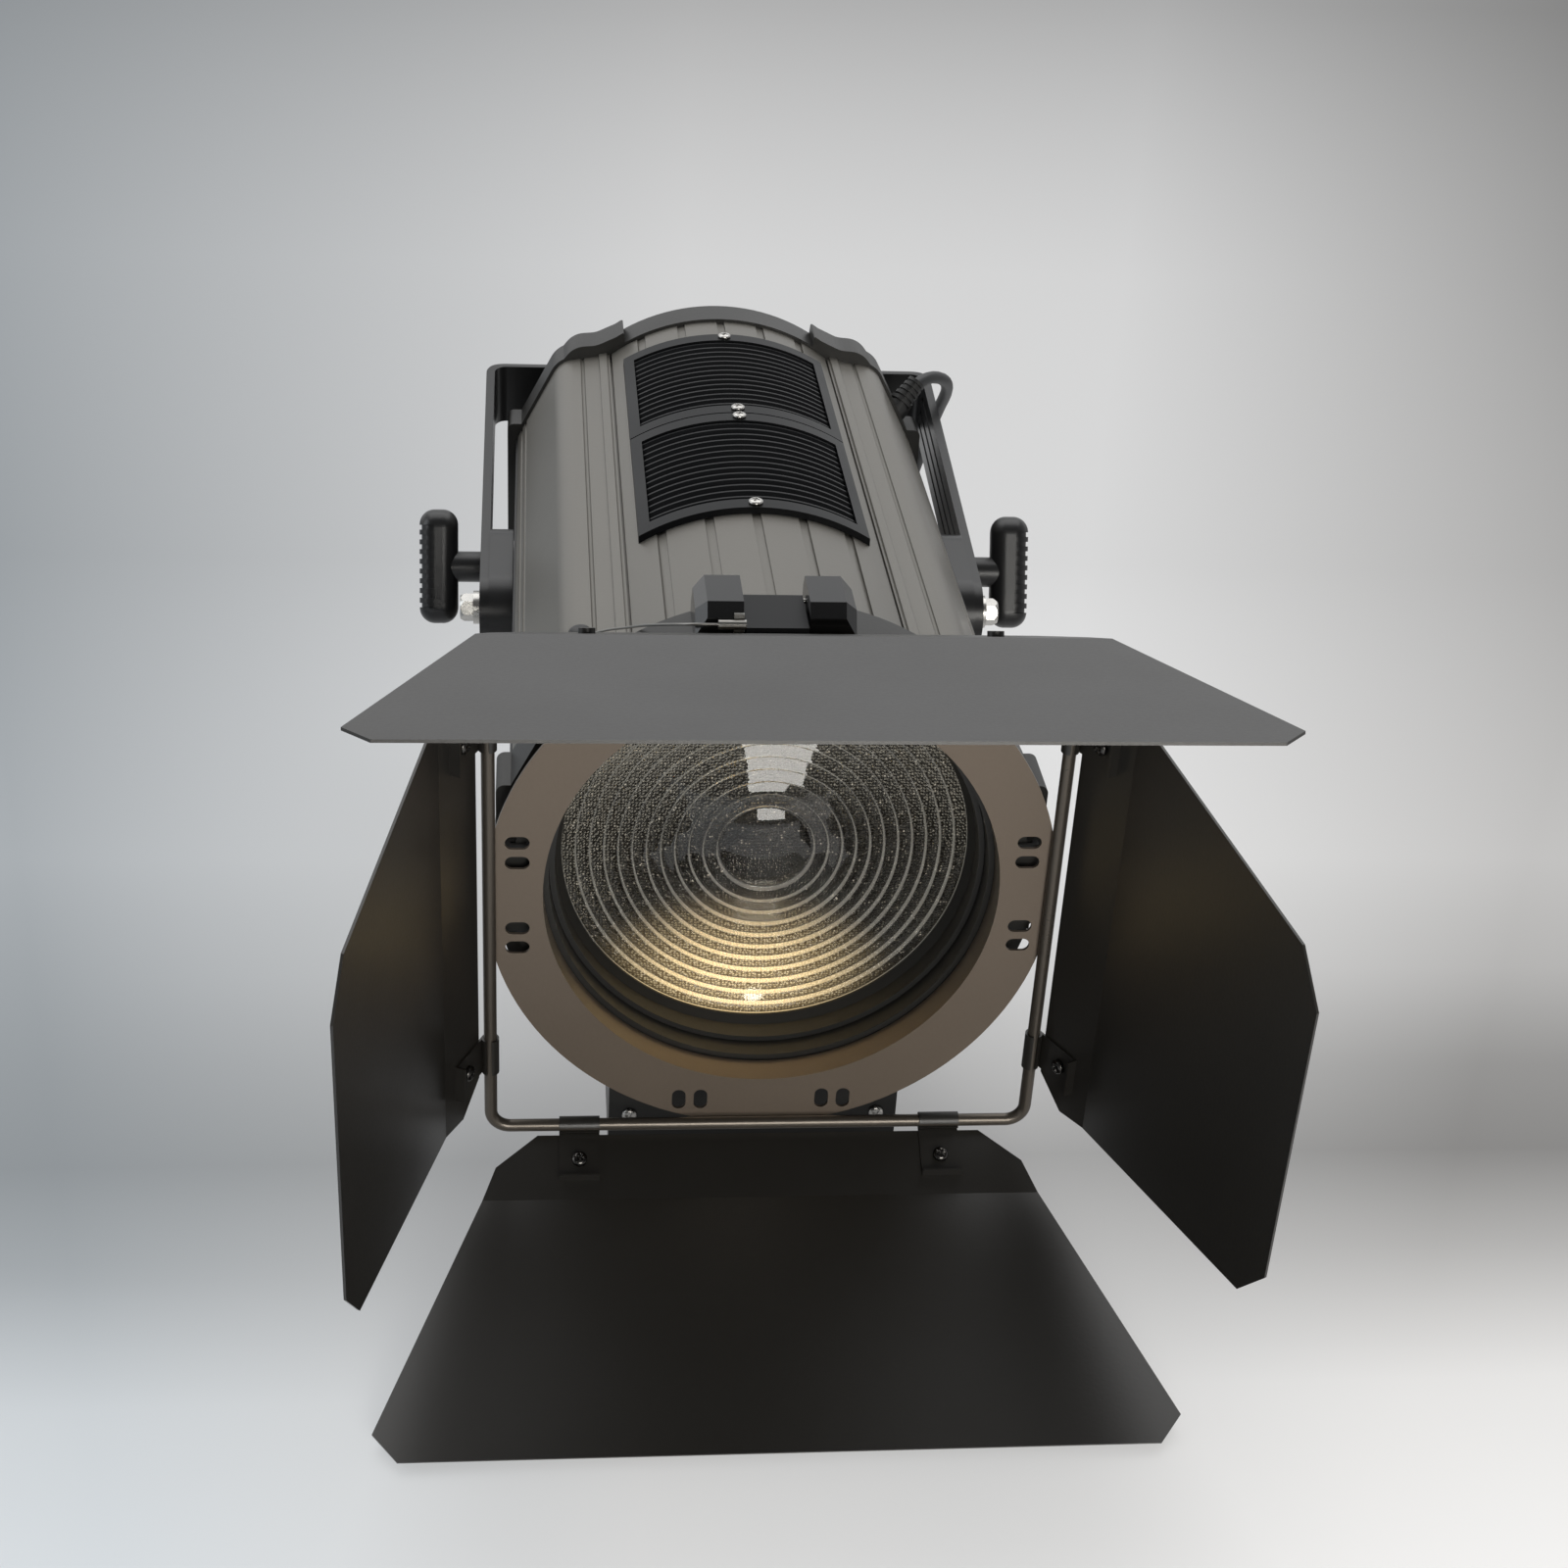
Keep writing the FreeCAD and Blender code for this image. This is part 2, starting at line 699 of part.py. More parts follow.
def pan_screw(seat, way, length):
    """A round-headed screw: its head stands on the seat and its shank runs the other way."""
    out = V(way).normalize()
    head = rod(seat, seat + out * SCREW_HEAD_HEIGHT, SCREW_HEAD_RADIUS)
    rims = [
        e
        for e in head.Edges
        if e.Closed and (e.CenterOfMass - seat).dot(out) > SCREW_HEAD_HEIGHT * HEAD_TOP_SHARE
    ]
    head = head.makeChamfer(SCREW_HEAD_HEIGHT / 2, rims)
    return head.fuse(rod(seat, seat - out * length, SCREW_SHANK_RADIUS))


def vent_screws():
    """The screws that hold the vent frames to the top cover."""
    return Part.makeCompound([pan_screw(p, V(0, 0, 1), VENT_PROUD + WALL) for p in vent_screw_places()])


def front_cap():
    """The cast front: a round collar joined with the body's outline, a barrel and a plug into the body."""
    outline = body_outer(FRONT_CAP_Y, BODY_START_Y, FRONT_CAP_PROUD)
    collar = rod(V(0, FRONT_CAP_Y, 0), V(0, BODY_START_Y, 0), COLLAR_RADIUS)
    plug = body_outer(BODY_START_Y, BODY_START_Y + CAP_OVERLAP, -WALL - FIT)
    ear = rounded(
        [
            V(0, FRONT_CAP_Y, EAR_TOP_Z),
            V(WIDEST_X + EAR_PROUD, FRONT_CAP_Y, EAR_TOP_Z),
            V(WIDEST_X + EAR_PROUD, FRONT_CAP_Y, EAR_BOTTOM_Z),
            V(0, FRONT_CAP_Y, EAR_BOTTOM_Z),
        ],
        [0, EAR_ROUND, EAR_ROUND, 0],
    )
    ears = [prism(ear, V(0, BODY_START_Y - FRONT_CAP_Y, 0))]
    ears.append(mirrored(ears[0]))
    barrel = rod(V(0, FRONT_CAP_Y - CUT, 0), V(0, BODY_START_Y + CAP_OVERLAP + CUT, 0), BARREL_RADIUS)
    seat = block(
        (-BOX_HALF_X - FIT, BOX_HALF_X + FIT),
        (FRONT_CAP_Y - CUT, BODY_START_Y + CUT),
        (-2 * COLLAR_RADIUS, BELLY_Z - FRONT_CAP_PROUD),
    )
    sockets = [
        rod(V(x, rail_front_y(), z), V(x, BODY_START_Y + 2 * CAP_OVERLAP, z), RAIL_RADIUS)
        for x, z in rail_places()
    ]
    return fused([outline, collar, plug] + ears).cut([barrel, seat] + sockets)


def rear_end():
    """The station of the rear cap's back face."""
    return BODY_END_Y + REAR_CAP_LENGTH


def behind(x, y, z):
    """A place whose depth is measured from the rear cap's back face."""
    return V(x, rear_end() + y, z)


def rear_cap():
    """The cast rear rim: proud of the body, with raised side lobes that end in horns beside the dome."""
    back = rear_end()
    outline = body_outer(BODY_END_Y, back, REAR_CAP_PROUD)
    lobe = rounded(
        [
            V(HORN_X, BODY_END_Y, SEAM_Z),
            V(HORN_X + HORN_WIDTH / 2, BODY_END_Y, HORN_Z),
            V(HORN_X + 2 * HORN_WIDTH, BODY_END_Y, HORN_Z - HORN_WIDTH),
            V(VALLEY_X, BODY_END_Y, VALLEY_Z),
            V(LOBE_X, BODY_END_Y, LOBE_Z),
            V(LOBE_END_X, BODY_END_Y, LOBE_END_Z),
            V(SHOULDER_X, BODY_END_Y, SEAM_Z / 2),
            V(HORN_X, BODY_END_Y, SEAM_Z / 2),
        ],
        [0, HORN_WIDTH / 4, HORN_WIDTH / 2, SHOULDER_ROUND, SHOULDER_ROUND, WIDEST_ROUND, 0, 0],
    )
    lobes = [prism(lobe, V(0, REAR_CAP_LENGTH, 0))]
    lobes.append(mirrored(lobes[0]))
    ear = rounded(
        [
            V(0, BODY_END_Y, EAR_TOP_Z),
            V(WIDEST_X + EAR_PROUD - REAR_CAP_PROUD / 2, BODY_END_Y, EAR_TOP_Z),
            V(WIDEST_X + EAR_PROUD - REAR_CAP_PROUD / 2, BODY_END_Y, EAR_BOTTOM_Z),
            V(0, BODY_END_Y, EAR_BOTTOM_Z),
        ],
        [0, EAR_ROUND, EAR_ROUND, 0],
    )
    ears = [prism(ear, V(0, REAR_CAP_LENGTH, 0))]
    ears.append(mirrored(ears[0]))
    plug = body_outer(BODY_END_Y - CAP_OVERLAP, BODY_END_Y, -WALL - FIT)
    hollow = body_outer(BODY_END_Y - CAP_OVERLAP - CUT, back + CUT, -CAP_WALL - CAP_LIP)
    recess = body_outer(back - PANEL_RECESS - PANEL_THICK, back + CUT, -CAP_WALL)
    bore = rod(gland_point(-2 * GLAND_DEPTH), gland_point(GLAND_DEPTH), GLAND_RADIUS)
    return fused([outline, plug] + lobes + ears).cut([hollow, recess, bore])


def panel_face_y():
    """The outer face of the rear panel."""
    return rear_end() - PANEL_RECESS


def button_x(i):
    """Where one of the buttons stands in the row."""
    return BUTTON_FIRST_X + i * BUTTON_PITCH


def gland_point(reach):
    """A point on the cable gland's axis, measured out from the rear cap's skin."""
    return behind(*GLAND_PLACE) + V(*GLAND_WAY).normalize() * reach


def rear_panel():
    """The back plate: a round fan guard, a display window, button holes and two socket holes."""
    face = panel_face_y()
    inside = face - PANEL_THICK
    plate = body_outer(inside, face, -CAP_WALL - FIT)
    centre = V(0, inside - CUT, FAN_Z)
    through = V(0, face + CUT, FAN_Z)
    reach = FAN_SIZE / 2 - FAN_WALL
    pitch = reach / GUARD_RING_COUNT
    spokes = [
        turned(
            block(
                (-reach, reach),
                (inside - CUT, face + CUT),
                (FAN_Z - GUARD_SPOKE / 2, FAN_Z + GUARD_SPOKE / 2),
            ),
            centre,
            V(0, 1, 0),
            angle,
        )
        for angle in (45, 135)
    ]
    tools = []
    for i in range(1, GUARD_RING_COUNT):
        ring = tube(centre, through, (i + 1) * pitch - GUARD_BAR / 2, i * pitch + GUARD_BAR / 2)
        tools.append(ring.cut(spokes))
    tools.append(
        block(
            (DISPLAY_X - DISPLAY_WIDTH / 2, DISPLAY_X + DISPLAY_WIDTH / 2),
            (inside - CUT, face + CUT),
            (DISPLAY_Z - DISPLAY_HEIGHT / 2, DISPLAY_Z + DISPLAY_HEIGHT / 2),
        )
    )
    for i in range(BUTTON_COUNT):
        x = button_x(i)
        tools.append(
            rod(V(x, inside - CUT, BUTTON_Z), V(x, face + CUT, BUTTON_Z), BUTTON_RADIUS + BUTTON_GAP)
        )
    for x in (SOCKET_FIRST_X, SOCKET_SECOND_X):
        tools.append(rod(V(x, inside - CUT, SOCKET_Z), V(x, face + CUT, SOCKET_Z), SOCKET_RADIUS + FIT / 2))
    return cut_by(plate, tools)


def button(i):
    """A push button: a round cap with a flange behind the panel."""
    x, face = button_x(i), panel_face_y()
    inside = face - PANEL_THICK
    cap = rod(V(x, inside - BUTTON_DEPTH, BUTTON_Z), V(x, face + BUTTON_PROUD, BUTTON_Z), BUTTON_RADIUS)
    rim = [e for e in cap.Edges if e.Closed and e.CenterOfMass.y > face + BUTTON_PROUD / 2]
    cap = cap.makeFillet(BUTTON_FLANGE / 2, rim)
    flange = rod(
        V(x, inside - BUTTON_FLANGE, BUTTON_Z),
        V(x, inside - FIT / 4, BUTTON_Z),
        BUTTON_RADIUS + BUTTON_FLANGE,
    )
    return cap.fuse(flange)


def display_board():
    """The circuit board behind the display and the buttons, with the display on it."""
    inside = panel_face_y() - PANEL_THICK
    behind = inside - BUTTON_DEPTH - BUTTON_TRAVEL - 2 * FIT
    low_x = min(button_x(0), DISPLAY_X - DISPLAY_WIDTH / 2) - BUTTON_RADIUS
    high_x = max(button_x(BUTTON_COUNT - 1), DISPLAY_X + DISPLAY_WIDTH / 2) + BUTTON_RADIUS
    board = block(
        (low_x, high_x),
        (behind - PANEL_THICK, behind),
        (BUTTON_Z - 2 * BUTTON_RADIUS, DISPLAY_Z + DISPLAY_HEIGHT / 2),
    )
    screen = block(
        (DISPLAY_X - DISPLAY_WIDTH / 2 + FIT, DISPLAY_X + DISPLAY_WIDTH / 2 - FIT),
        (behind, inside + PANEL_THICK + DISPLAY_PROUD),
        (DISPLAY_Z - DISPLAY_HEIGHT / 2 + FIT, DISPLAY_Z + DISPLAY_HEIGHT / 2 - FIT),
    )
    return board.fuse(screen)


def data_sockets():
    """The two round control sockets, one with pins in its well and one with holes."""
    face = panel_face_y()
    solids = []
    for x, male in ((SOCKET_FIRST_X, True), (SOCKET_SECOND_X, False)):
        middle = V(x, 0, SOCKET_Z)
        shell = rod(middle + V(0, face - SOCKET_DEPTH, 0), middle + V(0, face, 0), SOCKET_RADIUS)
        rim = rod(
            middle + V(0, face, 0),
            middle + V(0, face + SOCKET_PROUD, 0),
            SOCKET_RADIUS + 2 * SOCKET_PROUD,
        )
        shape = shell.fuse(rim)
        pins = []
        for i in range(SOCKET_PINS):
            angle = math.radians(90 + 360 / SOCKET_PINS * i)
            spot = middle + V(SOCKET_BORE / 2 * math.cos(angle), 0, SOCKET_BORE / 2 * math.sin(angle))
            pins.append((spot + V(0, face - SOCKET_WELL - CUT, 0), spot + V(0, face - SOCKET_PROUD, 0)))
        if male:
            well = rod(
                middle + V(0, face - SOCKET_WELL, 0),
                middle + V(0, face + 2 * SOCKET_PROUD, 0),
                SOCKET_BORE,
            )
            shape = fused([shape.cut(well)] + [rod(a, b, SOCKET_PIN_RADIUS) for a, b in pins])
        else:
            shape = cut_by(
                shape,
                [rod(a, b + V(0, 3 * SOCKET_PROUD, 0), SOCKET_PIN_RADIUS) for a, b in pins],
            )
        solids.append(shape)
    return Part.makeCompound(solids)


def fan_frame():
    """The square fan housing, with a spider that carries the rotor's shaft."""
    back = panel_face_y() - PANEL_THICK
    front = back - FAN_DEPTH
    half = FAN_SIZE / 2
    frame = block((-half, half), (front, back), (FAN_Z - half, FAN_Z + half))
    bore = rod(V(0, front - CUT, FAN_Z), V(0, back + CUT, FAN_Z), half - FAN_WALL)
    spider = [rod(V(0, front, FAN_Z), V(0, front + FAN_SPIDER, FAN_Z), FAN_HUB_RADIUS)]
    for i in range(3):
        strut = block(
            (-FAN_STRUT / 2, FAN_STRUT / 2),
            (front, front + FAN_SPIDER),
            (FAN_Z, FAN_Z + half - FAN_WALL / 2),
        )
        spider.append(turned(strut, V(0, 0, FAN_Z), V(0, 1, 0), 120 * i + 60))
    hole = rod(V(0, front - CUT, FAN_Z), V(0, front + FAN_SPIDER + CUT, FAN_Z), FAN_SHAFT_RADIUS + STUD_FIT)
    return fused([frame.cut(bore)] + spider).cut(hole)


def fan_rotor():
    """The fan's hub, shaft and pitched blades."""
    back = panel_face_y() - PANEL_THICK
    front = back - FAN_DEPTH
    low, high = front + FAN_SPIDER + 2 * FIT, back - FAN_SPIDER
    axis = V(0, 0, FAN_Z)
    solids = [rod(axis + V(0, low, 0), axis + V(0, high, 0), FAN_HUB_RADIUS)]
    solids.append(rod(axis + V(0, front, 0), axis + V(0, low + CUT, 0), FAN_SHAFT_RADIUS))
    tip = FAN_SIZE / 2 - FAN_WALL - FAN_TIP_GAP
    middle = (low + high) / 2
    lane = tube(
        axis + V(0, low + FIT, 0),
        axis + V(0, high - FIT, 0),
        tip,
        FAN_HUB_RADIUS - FAN_BLADE_THICK,
    )
    for i in range(FAN_BLADE_COUNT):
        blade = block(
            (-FAN_BLADE_CHORD / 2, FAN_BLADE_CHORD / 2),
            (middle - FAN_BLADE_THICK / 2, middle + FAN_BLADE_THICK / 2),
            (FAN_Z + FAN_HUB_RADIUS / 2, FAN_Z + 2 * tip),
        )
        blade = turned(blade, V(0, middle, FAN_Z), V(0, 0, 1), FAN_BLADE_PITCH)
        blade = turned(blade, axis, V(0, 1, 0), 360 / FAN_BLADE_COUNT * i)
        solids.append(blade.common(lane))
    return fused(solids)


def revolved(points):
    """A solid of revolution about the lens axis from (radius, y) points."""
    wire = Part.makePolygon([V(r, y, 0) for r, y in points + points[:1]])
    return Part.Face(wire).revolve(V(0, 0, 0), V(0, 1, 0), 360)


def lens_step_radii():
    """Where the lens's rings begin: the centre zone, then equal rings out to the rim."""
    pitch = (BEZEL_INNER_RADIUS - LENS_CENTRE_RADIUS) / LENS_STEPS
    return [LENS_CENTRE_RADIUS + i * pitch for i in range(LENS_STEPS)]


def lens():
    """The fresnel lens: a flat back and a front of stepped cones round a shallow centre."""
    rim = BARREL_RADIUS - WALL - 2 * FIT
    points = [(0, LENS_Y - LENS_STEP_DEPTH / 2)]
    for r in lens_step_radii():
        points += [(r, LENS_Y + LENS_STEP_DEPTH), (r, LENS_Y)]
    points += [(BEZEL_INNER_RADIUS, LENS_Y + LENS_STEP_DEPTH), (rim, LENS_Y + LENS_STEP_DEPTH)]
    points += [(rim, LENS_Y + LENS_THICK), (0, LENS_Y + LENS_THICK)]
    return revolved(points)


def lens_bezel():
    """The dark ring that holds the lens in the barrel."""
    outer = BARREL_RADIUS - FIT
    inner = BARREL_RADIUS - WALL - FIT
    seat = LENS_Y + LENS_STEP_DEPTH
    points = [
        (inner, seat + LENS_THICK),
        (outer, seat + LENS_THICK),
        (outer, seat - BEZEL_DEPTH - LENS_THICK),
        (inner, seat - BEZEL_DEPTH - LENS_THICK),
        (inner, seat - BEZEL_DEPTH / 2),
        (BEZEL_INNER_RADIUS, seat - WALL / 2),
        (BEZEL_INNER_RADIUS, seat),
        (inner, seat),
    ]
    return revolved(points)


def lip_outer():
    """The outer radius of the barn door's inner lip."""
    return RING_HOLE_RADIUS + SHEET


def holder_plate():
    """The flat ring that slides into the holder and lets the barn door turn on its lip."""
    return tube(
        V(0, HOLDER_PLATE_Y, 0),
        V(0, HOLDER_PLATE_Y + RING_SHEET, 0),
        HOLDER_PLATE_RADIUS,
        lip_outer() + HOLDER_GAP,
    )


def holder_brackets():
    """Three channels on the front cap, left, right and below, that hold the flat ring's edge."""
    low = HOLDER_PLATE_RADIUS - BRACKET_REACH
    wall = HOLDER_PLATE_RADIUS + HOLDER_GAP
    front = HOLDER_PLATE_Y - HOLDER_GAP - RING_SHEET
    solid = block((low, wall + WALL), (front, FRONT_CAP_Y), (-BRACKET_WIDTH / 2, BRACKET_WIDTH / 2))
    slot = block(
        (low - CUT, wall),
        (HOLDER_PLATE_Y - HOLDER_GAP, HOLDER_PLATE_Y + RING_SHEET + HOLDER_GAP),
        (-BRACKET_WIDTH, BRACKET_WIDTH),
    )
    channel = solid.cut(slot)
    return Part.makeCompound([turned(channel, V(0, 0, 0), V(0, 1, 0), angle) for angle in (0, 90, 180)])


def catch_block(side):
    """A faceted block that stands on the collar and hangs a lip in front of it."""
    corners = [
        V(CATCH_INNER_X, CATCH_FRONT_Y, CATCH_LOW_Z),
        V(CATCH_INNER_X, CATCH_FRONT_Y, CATCH_FACET_Z),
        V(CATCH_INNER_X, CATCH_FRONT_Y + CATCH_FACET, CATCH_TOP_Z),
        V(CATCH_INNER_X, CATCH_BACK_Y - CATCH_FACET, CATCH_TOP_Z),
        V(CATCH_INNER_X, CATCH_BACK_Y, CATCH_FACET_Z),
        V(CATCH_INNER_X, CATCH_BACK_Y, CATCH_LOW_Z),
    ]
    prism_part = Part.Face(
        Part.makePolygon(corners + corners[:1])
    ).extrude(V(CATCH_OUTER_X - CATCH_INNER_X, 0, 0))
    top_edges = [
        e
        for e in prism_part.Edges
        if e.BoundBox.XMin > CATCH_OUTER_X - CUT and e.CenterOfMass.z > CATCH_FACET_Z - CUT
    ]
    prism_part = prism_part.makeChamfer(CATCH_SIDE_FACET, top_edges)
    if side < 0:
        prism_part = mirrored(prism_part)
    prism_part.translate(V(CATCH_MIDDLE_X, 0, 0))
    collar = rod(V(0, FRONT_CAP_Y - FIT, 0), V(0, BODY_START_Y + CUT, 0), COLLAR_RADIUS + FIT / 4)
    return prism_part.cut([collar, catch_pin()])


def catch_blocks():
    """Both blocks of the catch."""
    return Part.makeCompound([catch_block(1), catch_block(-1)])


def catch_pin():
    """The hinge pin between the blocks."""
    reach = CATCH_OUTER_X - CATCH_SIDE_FACET
    start, end = [V(CATCH_MIDDLE_X + x, CATCH_PIN_Y, CATCH_PIN_Z) for x in (-reach, reach)]
    return rod(start, end, CATCH_PIN_RADIUS)


def catch_plate():
    """The lever that hooks over the holder ring's edge: a bar rounded round its pin, and a bent front."""
    half = CATCH_INNER_X - CATCH_PLATE_GAP
    knuckle = rod(
        V(-half, CATCH_PIN_Y, CATCH_PIN_Z),
        V(half, CATCH_PIN_Y, CATCH_PIN_Z),
        CATCH_KNUCKLE_RADIUS,
    )
    low = CATCH_PIN_Z - CATCH_KNUCKLE_RADIUS
    tip = HOLDER_PLATE_RADIUS - CATCH_HOOK_BITE
    y = CATCH_PLATE_FRONT_Y
    half_side = [
        V(-half, CATCH_PIN_Y, low),
        V(-half, y + CATCH_HOOK_THICK, low),
        V(-half, y + CATCH_HOOK_THICK, tip),
        V(-half, y, tip),
        V(-half, y, low + 2 * CATCH_KNUCKLE_RADIUS),
        V(-half, CATCH_PIN_Y, low + 2 * CATCH_KNUCKLE_RADIUS),
    ]
    plate = Part.Face(Part.makePolygon(half_side + half_side[:1])).extrude(V(2 * half, 0, 0))
    bore = rod(
        V(-2 * half, CATCH_PIN_Y, CATCH_PIN_Z),
        V(2 * half, CATCH_PIN_Y, CATCH_PIN_Z),
        CATCH_PIN_RADIUS + STUD_FIT,
    )
    lever = plate.fuse(knuckle).cut(bore)
    lever.translate(V(CATCH_MIDDLE_X, 0, 0))
    return lever


def corner_arc(before, here, after, reach):
    """The arc tangent to both runs at a corner, leaving them at the same reach from it."""
    back, ahead = V(before - here).normalize(), V(after - here).normalize()
    half = back.getAngle(ahead) / 2
    radius = reach * math.tan(half)
    inward = V(back + ahead).normalize()
    middle = here + inward * (radius / math.sin(half) - radius)
    return Part.Arc(here + back * reach, middle, here + ahead * reach).toShape()


def arc_path(points, radius_share=ARC_SHARE):
    """Straight runs joined by tangent arcs, each as large as its two runs allow."""
    edges, start = [], points[0]
    for before, here, after in zip(points, points[1:], points[2:]):
        reach = radius_share * min((before - here).Length, (after - here).Length)
        arc = corner_arc(before, here, after, reach)
        arrive = here + V(before - here).normalize() * reach
        edges.append(Part.LineSegment(start, arrive).toShape())
        edges.append(arc)
        start = here + V(after - here).normalize() * reach
    edges.append(Part.LineSegment(start, points[-1]).toShape())
    return Part.Wire(edges)


def piped(path, radius):
    """A round tube along a path, with flat ends square to it."""
    first = path.Edges[0]
    start, way = first.valueAt(first.FirstParameter), first.tangentAt(first.FirstParameter)
    section = Part.Wire(Part.makeCircle(radius, start, way))
    return path.makePipeShell([section], True, False)


def wire_anchor():
    """The round black knob on the left shoulder that holds the safety wire's end."""
    foot = V(ANCHOR_X, ANCHOR_Y, band_height(-ANCHOR_X))
    slope = math.atan2(SEAM_Z - SHOULDER_Z, SHOULDER_X - SEAM_HALF_X)
    out = V(-math.sin(slope), 0, math.cos(slope))
    knob = rod(foot, foot + out * ANCHOR_HEIGHT, ANCHOR_RADIUS)
    rim = [e for e in knob.Edges if e.Closed and (e.CenterOfMass - foot).dot(out) > ANCHOR_HEIGHT / 2]
    return knob.makeFillet(ANCHOR_ROUND, rim)


def safety_wire():
    """The thin steel wire, its ferrule and the flat lug on the catch's front."""
    points = [V(*place) for place in WIRE_ROUTE]
    strand = piped(arc_path(points), WIRE_RADIUS)
    end = points[-1]
    lug_y = CATCH_FRONT_Y - LUG_THICK
    stop = V(CATCH_MIDDLE_X - CATCH_INNER_X - FERRULE_RADIUS, end.y, end.z)
    ferrule = rod(end, end + V(FERRULE_LENGTH, 0, 0), min(FERRULE_RADIUS, lug_y - end.y + LUG_THICK))
    lug = block(
        (stop.x - FERRULE_RADIUS, stop.x + FERRULE_RADIUS),
        (lug_y, CATCH_FRONT_Y),
        (end.z - 2 * FERRULE_RADIUS, end.z + 2 * FERRULE_RADIUS),
    )
    return fused([strand, ferrule, lug])


def ring_slots():
    """Cutters for the pairs of radial slots on all four sides of the ring."""
    half, reach = SLOT_WIDTH / 2, SLOT_LENGTH / 2 - SLOT_WIDTH / 2
    tools = []
    for angle in range(0, 360, 90):
        spacing = END_SLOT_SPACING if angle % 180 else SIDE_SLOT_SPACING
        for pair in (-1, 1):
            for slot in (-1, 1):
                z = pair * spacing + slot * SLOT_PAIR_OFFSET
                ends = [
                    rod(V(SLOT_REACH + e, -CUT, z), V(SLOT_REACH + e, RING_SHEET + CUT, z), half)
                    for e in (-reach, reach)
                ]
                bar = block(
                    (SLOT_REACH - reach, SLOT_REACH + reach),
                    (-CUT, RING_SHEET + CUT),
                    (z - half, z + half),
                )
                tools.append(turned(fused(ends + [bar]), V(0, 0, 0), V(0, 1, 0), angle))
    return tools


def ring_plate():
    """The barn door's ring: a flat face with four flats, radial slots and a rolled inner lip."""
    disc = rod(V(0, 0, 0), V(0, RING_SHEET, 0), RING_RADIUS)
    square = block(
        (-RING_FLAT_HALF, RING_FLAT_HALF),
        (-CUT, RING_SHEET + CUT),
        (-RING_FLAT_HALF, RING_FLAT_HALF),
    )
    hole = rod(V(0, -CUT, 0), V(0, RING_SHEET + CUT, 0), RING_HOLE_RADIUS)
    face = cut_by(disc.common(square), [hole] + ring_slots())
    inner, outer = RING_HOLE_RADIUS, lip_outer()
    lip = revolved(
        [
            (inner, 0),
            (outer, 0),
            (outer, LIP_DEPTH - SHEET),
            (outer + LIP_ROLL, LIP_DEPTH - SHEET),
            (outer + LIP_ROLL, LIP_DEPTH),
            (inner, LIP_DEPTH),
        ]
    )
    return face.fuse(lip)


def frame_half():
    """From the lens axis to the wire frame's centre line: the rod bears on the flats' front edges."""
    return RING_FLAT_HALF + math.sqrt(ROD_RADIUS**2 - ROD_Y**2) - ROD_SINK


def wire_frame():
    """The square frame of round wire, welded outside the ring's flats, on which the leaves hang."""
    half = frame_half()
    corners = [V(x, ROD_Y, z) for x, z in ((-half, half), (half, half), (half, -half), (-half, -half))]
    path = rounded(corners, [ROD_CORNER] * 4)
    first = path.Edges[0]
    start, way = first.valueAt(first.FirstParameter), first.tangentAt(first.FirstParameter)
    section = Part.Wire(Part.makeCircle(ROD_RADIUS, start, way))
    frame = path.makePipeShell([section], True, False)
    return frame if frame.Volume > 0 else frame.reversed()


def leaf_offset():
    """How far outside the rod's centre line the leaf's sheet lies: the clip's strap lies between."""
    return ROD_RADIUS + CLIP_GAP + CLIP_SHEET + SHEET / 2


def folded_reach(reach):
    """A distance along the leaf, seen square to its root strip."""
    if reach <= FOLD_REACH:
        return reach
    return FOLD_REACH + (reach - FOLD_REACH) * math.cos(math.radians(LEAF_FOLD))


def leaf(halves, reaches):
    """A leaf on its own axis: hinge line along X through zero, sheet ahead towards -Y, folded inwards."""
    low = leaf_offset() - SHEET / 2
    fold = math.radians(LEAF_FOLD)
    last = LEAF_CUT_SHARE * reaches[-1]
    run = last - FOLD_REACH
    nip = SHEET * math.tan(fold / 2)
    side = [
        V(-2 * halves[3], 0, low),
        V(-2 * halves[3], -FOLD_REACH, low),
        V(-2 * halves[3], -FOLD_REACH - run * math.cos(fold), low - run * math.sin(fold)),
        V(
            -2 * halves[3],
            -FOLD_REACH - run * math.cos(fold) - SHEET * math.sin(fold),
            low - run * math.sin(fold) + SHEET * math.cos(fold),
        ),
        V(-2 * halves[3], -FOLD_REACH - nip, low + SHEET),
        V(-2 * halves[3], 0, low + SHEET),
    ]
    sheet = Part.Face(Part.makePolygon(side + side[:1])).extrude(V(4 * halves[3], 0, 0))
    right = [V(w, -folded_reach(r), -LEAF_PANEL_DEPTH) for w, r in zip(halves, reaches)]
    outline = Part.makePolygon(right + [V(-p.x, p.y, p.z) for p in reversed(right)] + right[:1])
    shape = sheet.common(Part.Face(outline).extrude(V(0, 0, 2 * LEAF_PANEL_DEPTH)))
    holes = []
    for x in (-CLIP_PLACE, CLIP_PLACE):
        holes.append(
            rod(
                V(x, -CLIP_SCREW_REACH, 0),
                V(x, -CLIP_SCREW_REACH, 2 * low + SHEET),
                SCREW_SHANK_RADIUS + FIT / 2,
            )
        )
    return cut_by(shape, holes)


def wide_leaf():
    """The upper and lower leaf's shape."""
    halves = (WIDE_ROOT_HALF, WIDE_SHOULDER_HALF, WIDE_FOLD_HALF, WIDE_SPREAD_HALF, WIDE_TIP_HALF)
    reaches = (LEAF_ROOT_REACH, LEAF_SHOULDER_REACH, FOLD_REACH, WIDE_SPREAD_REACH, WIDE_TIP_REACH)
    return leaf(halves, reaches)


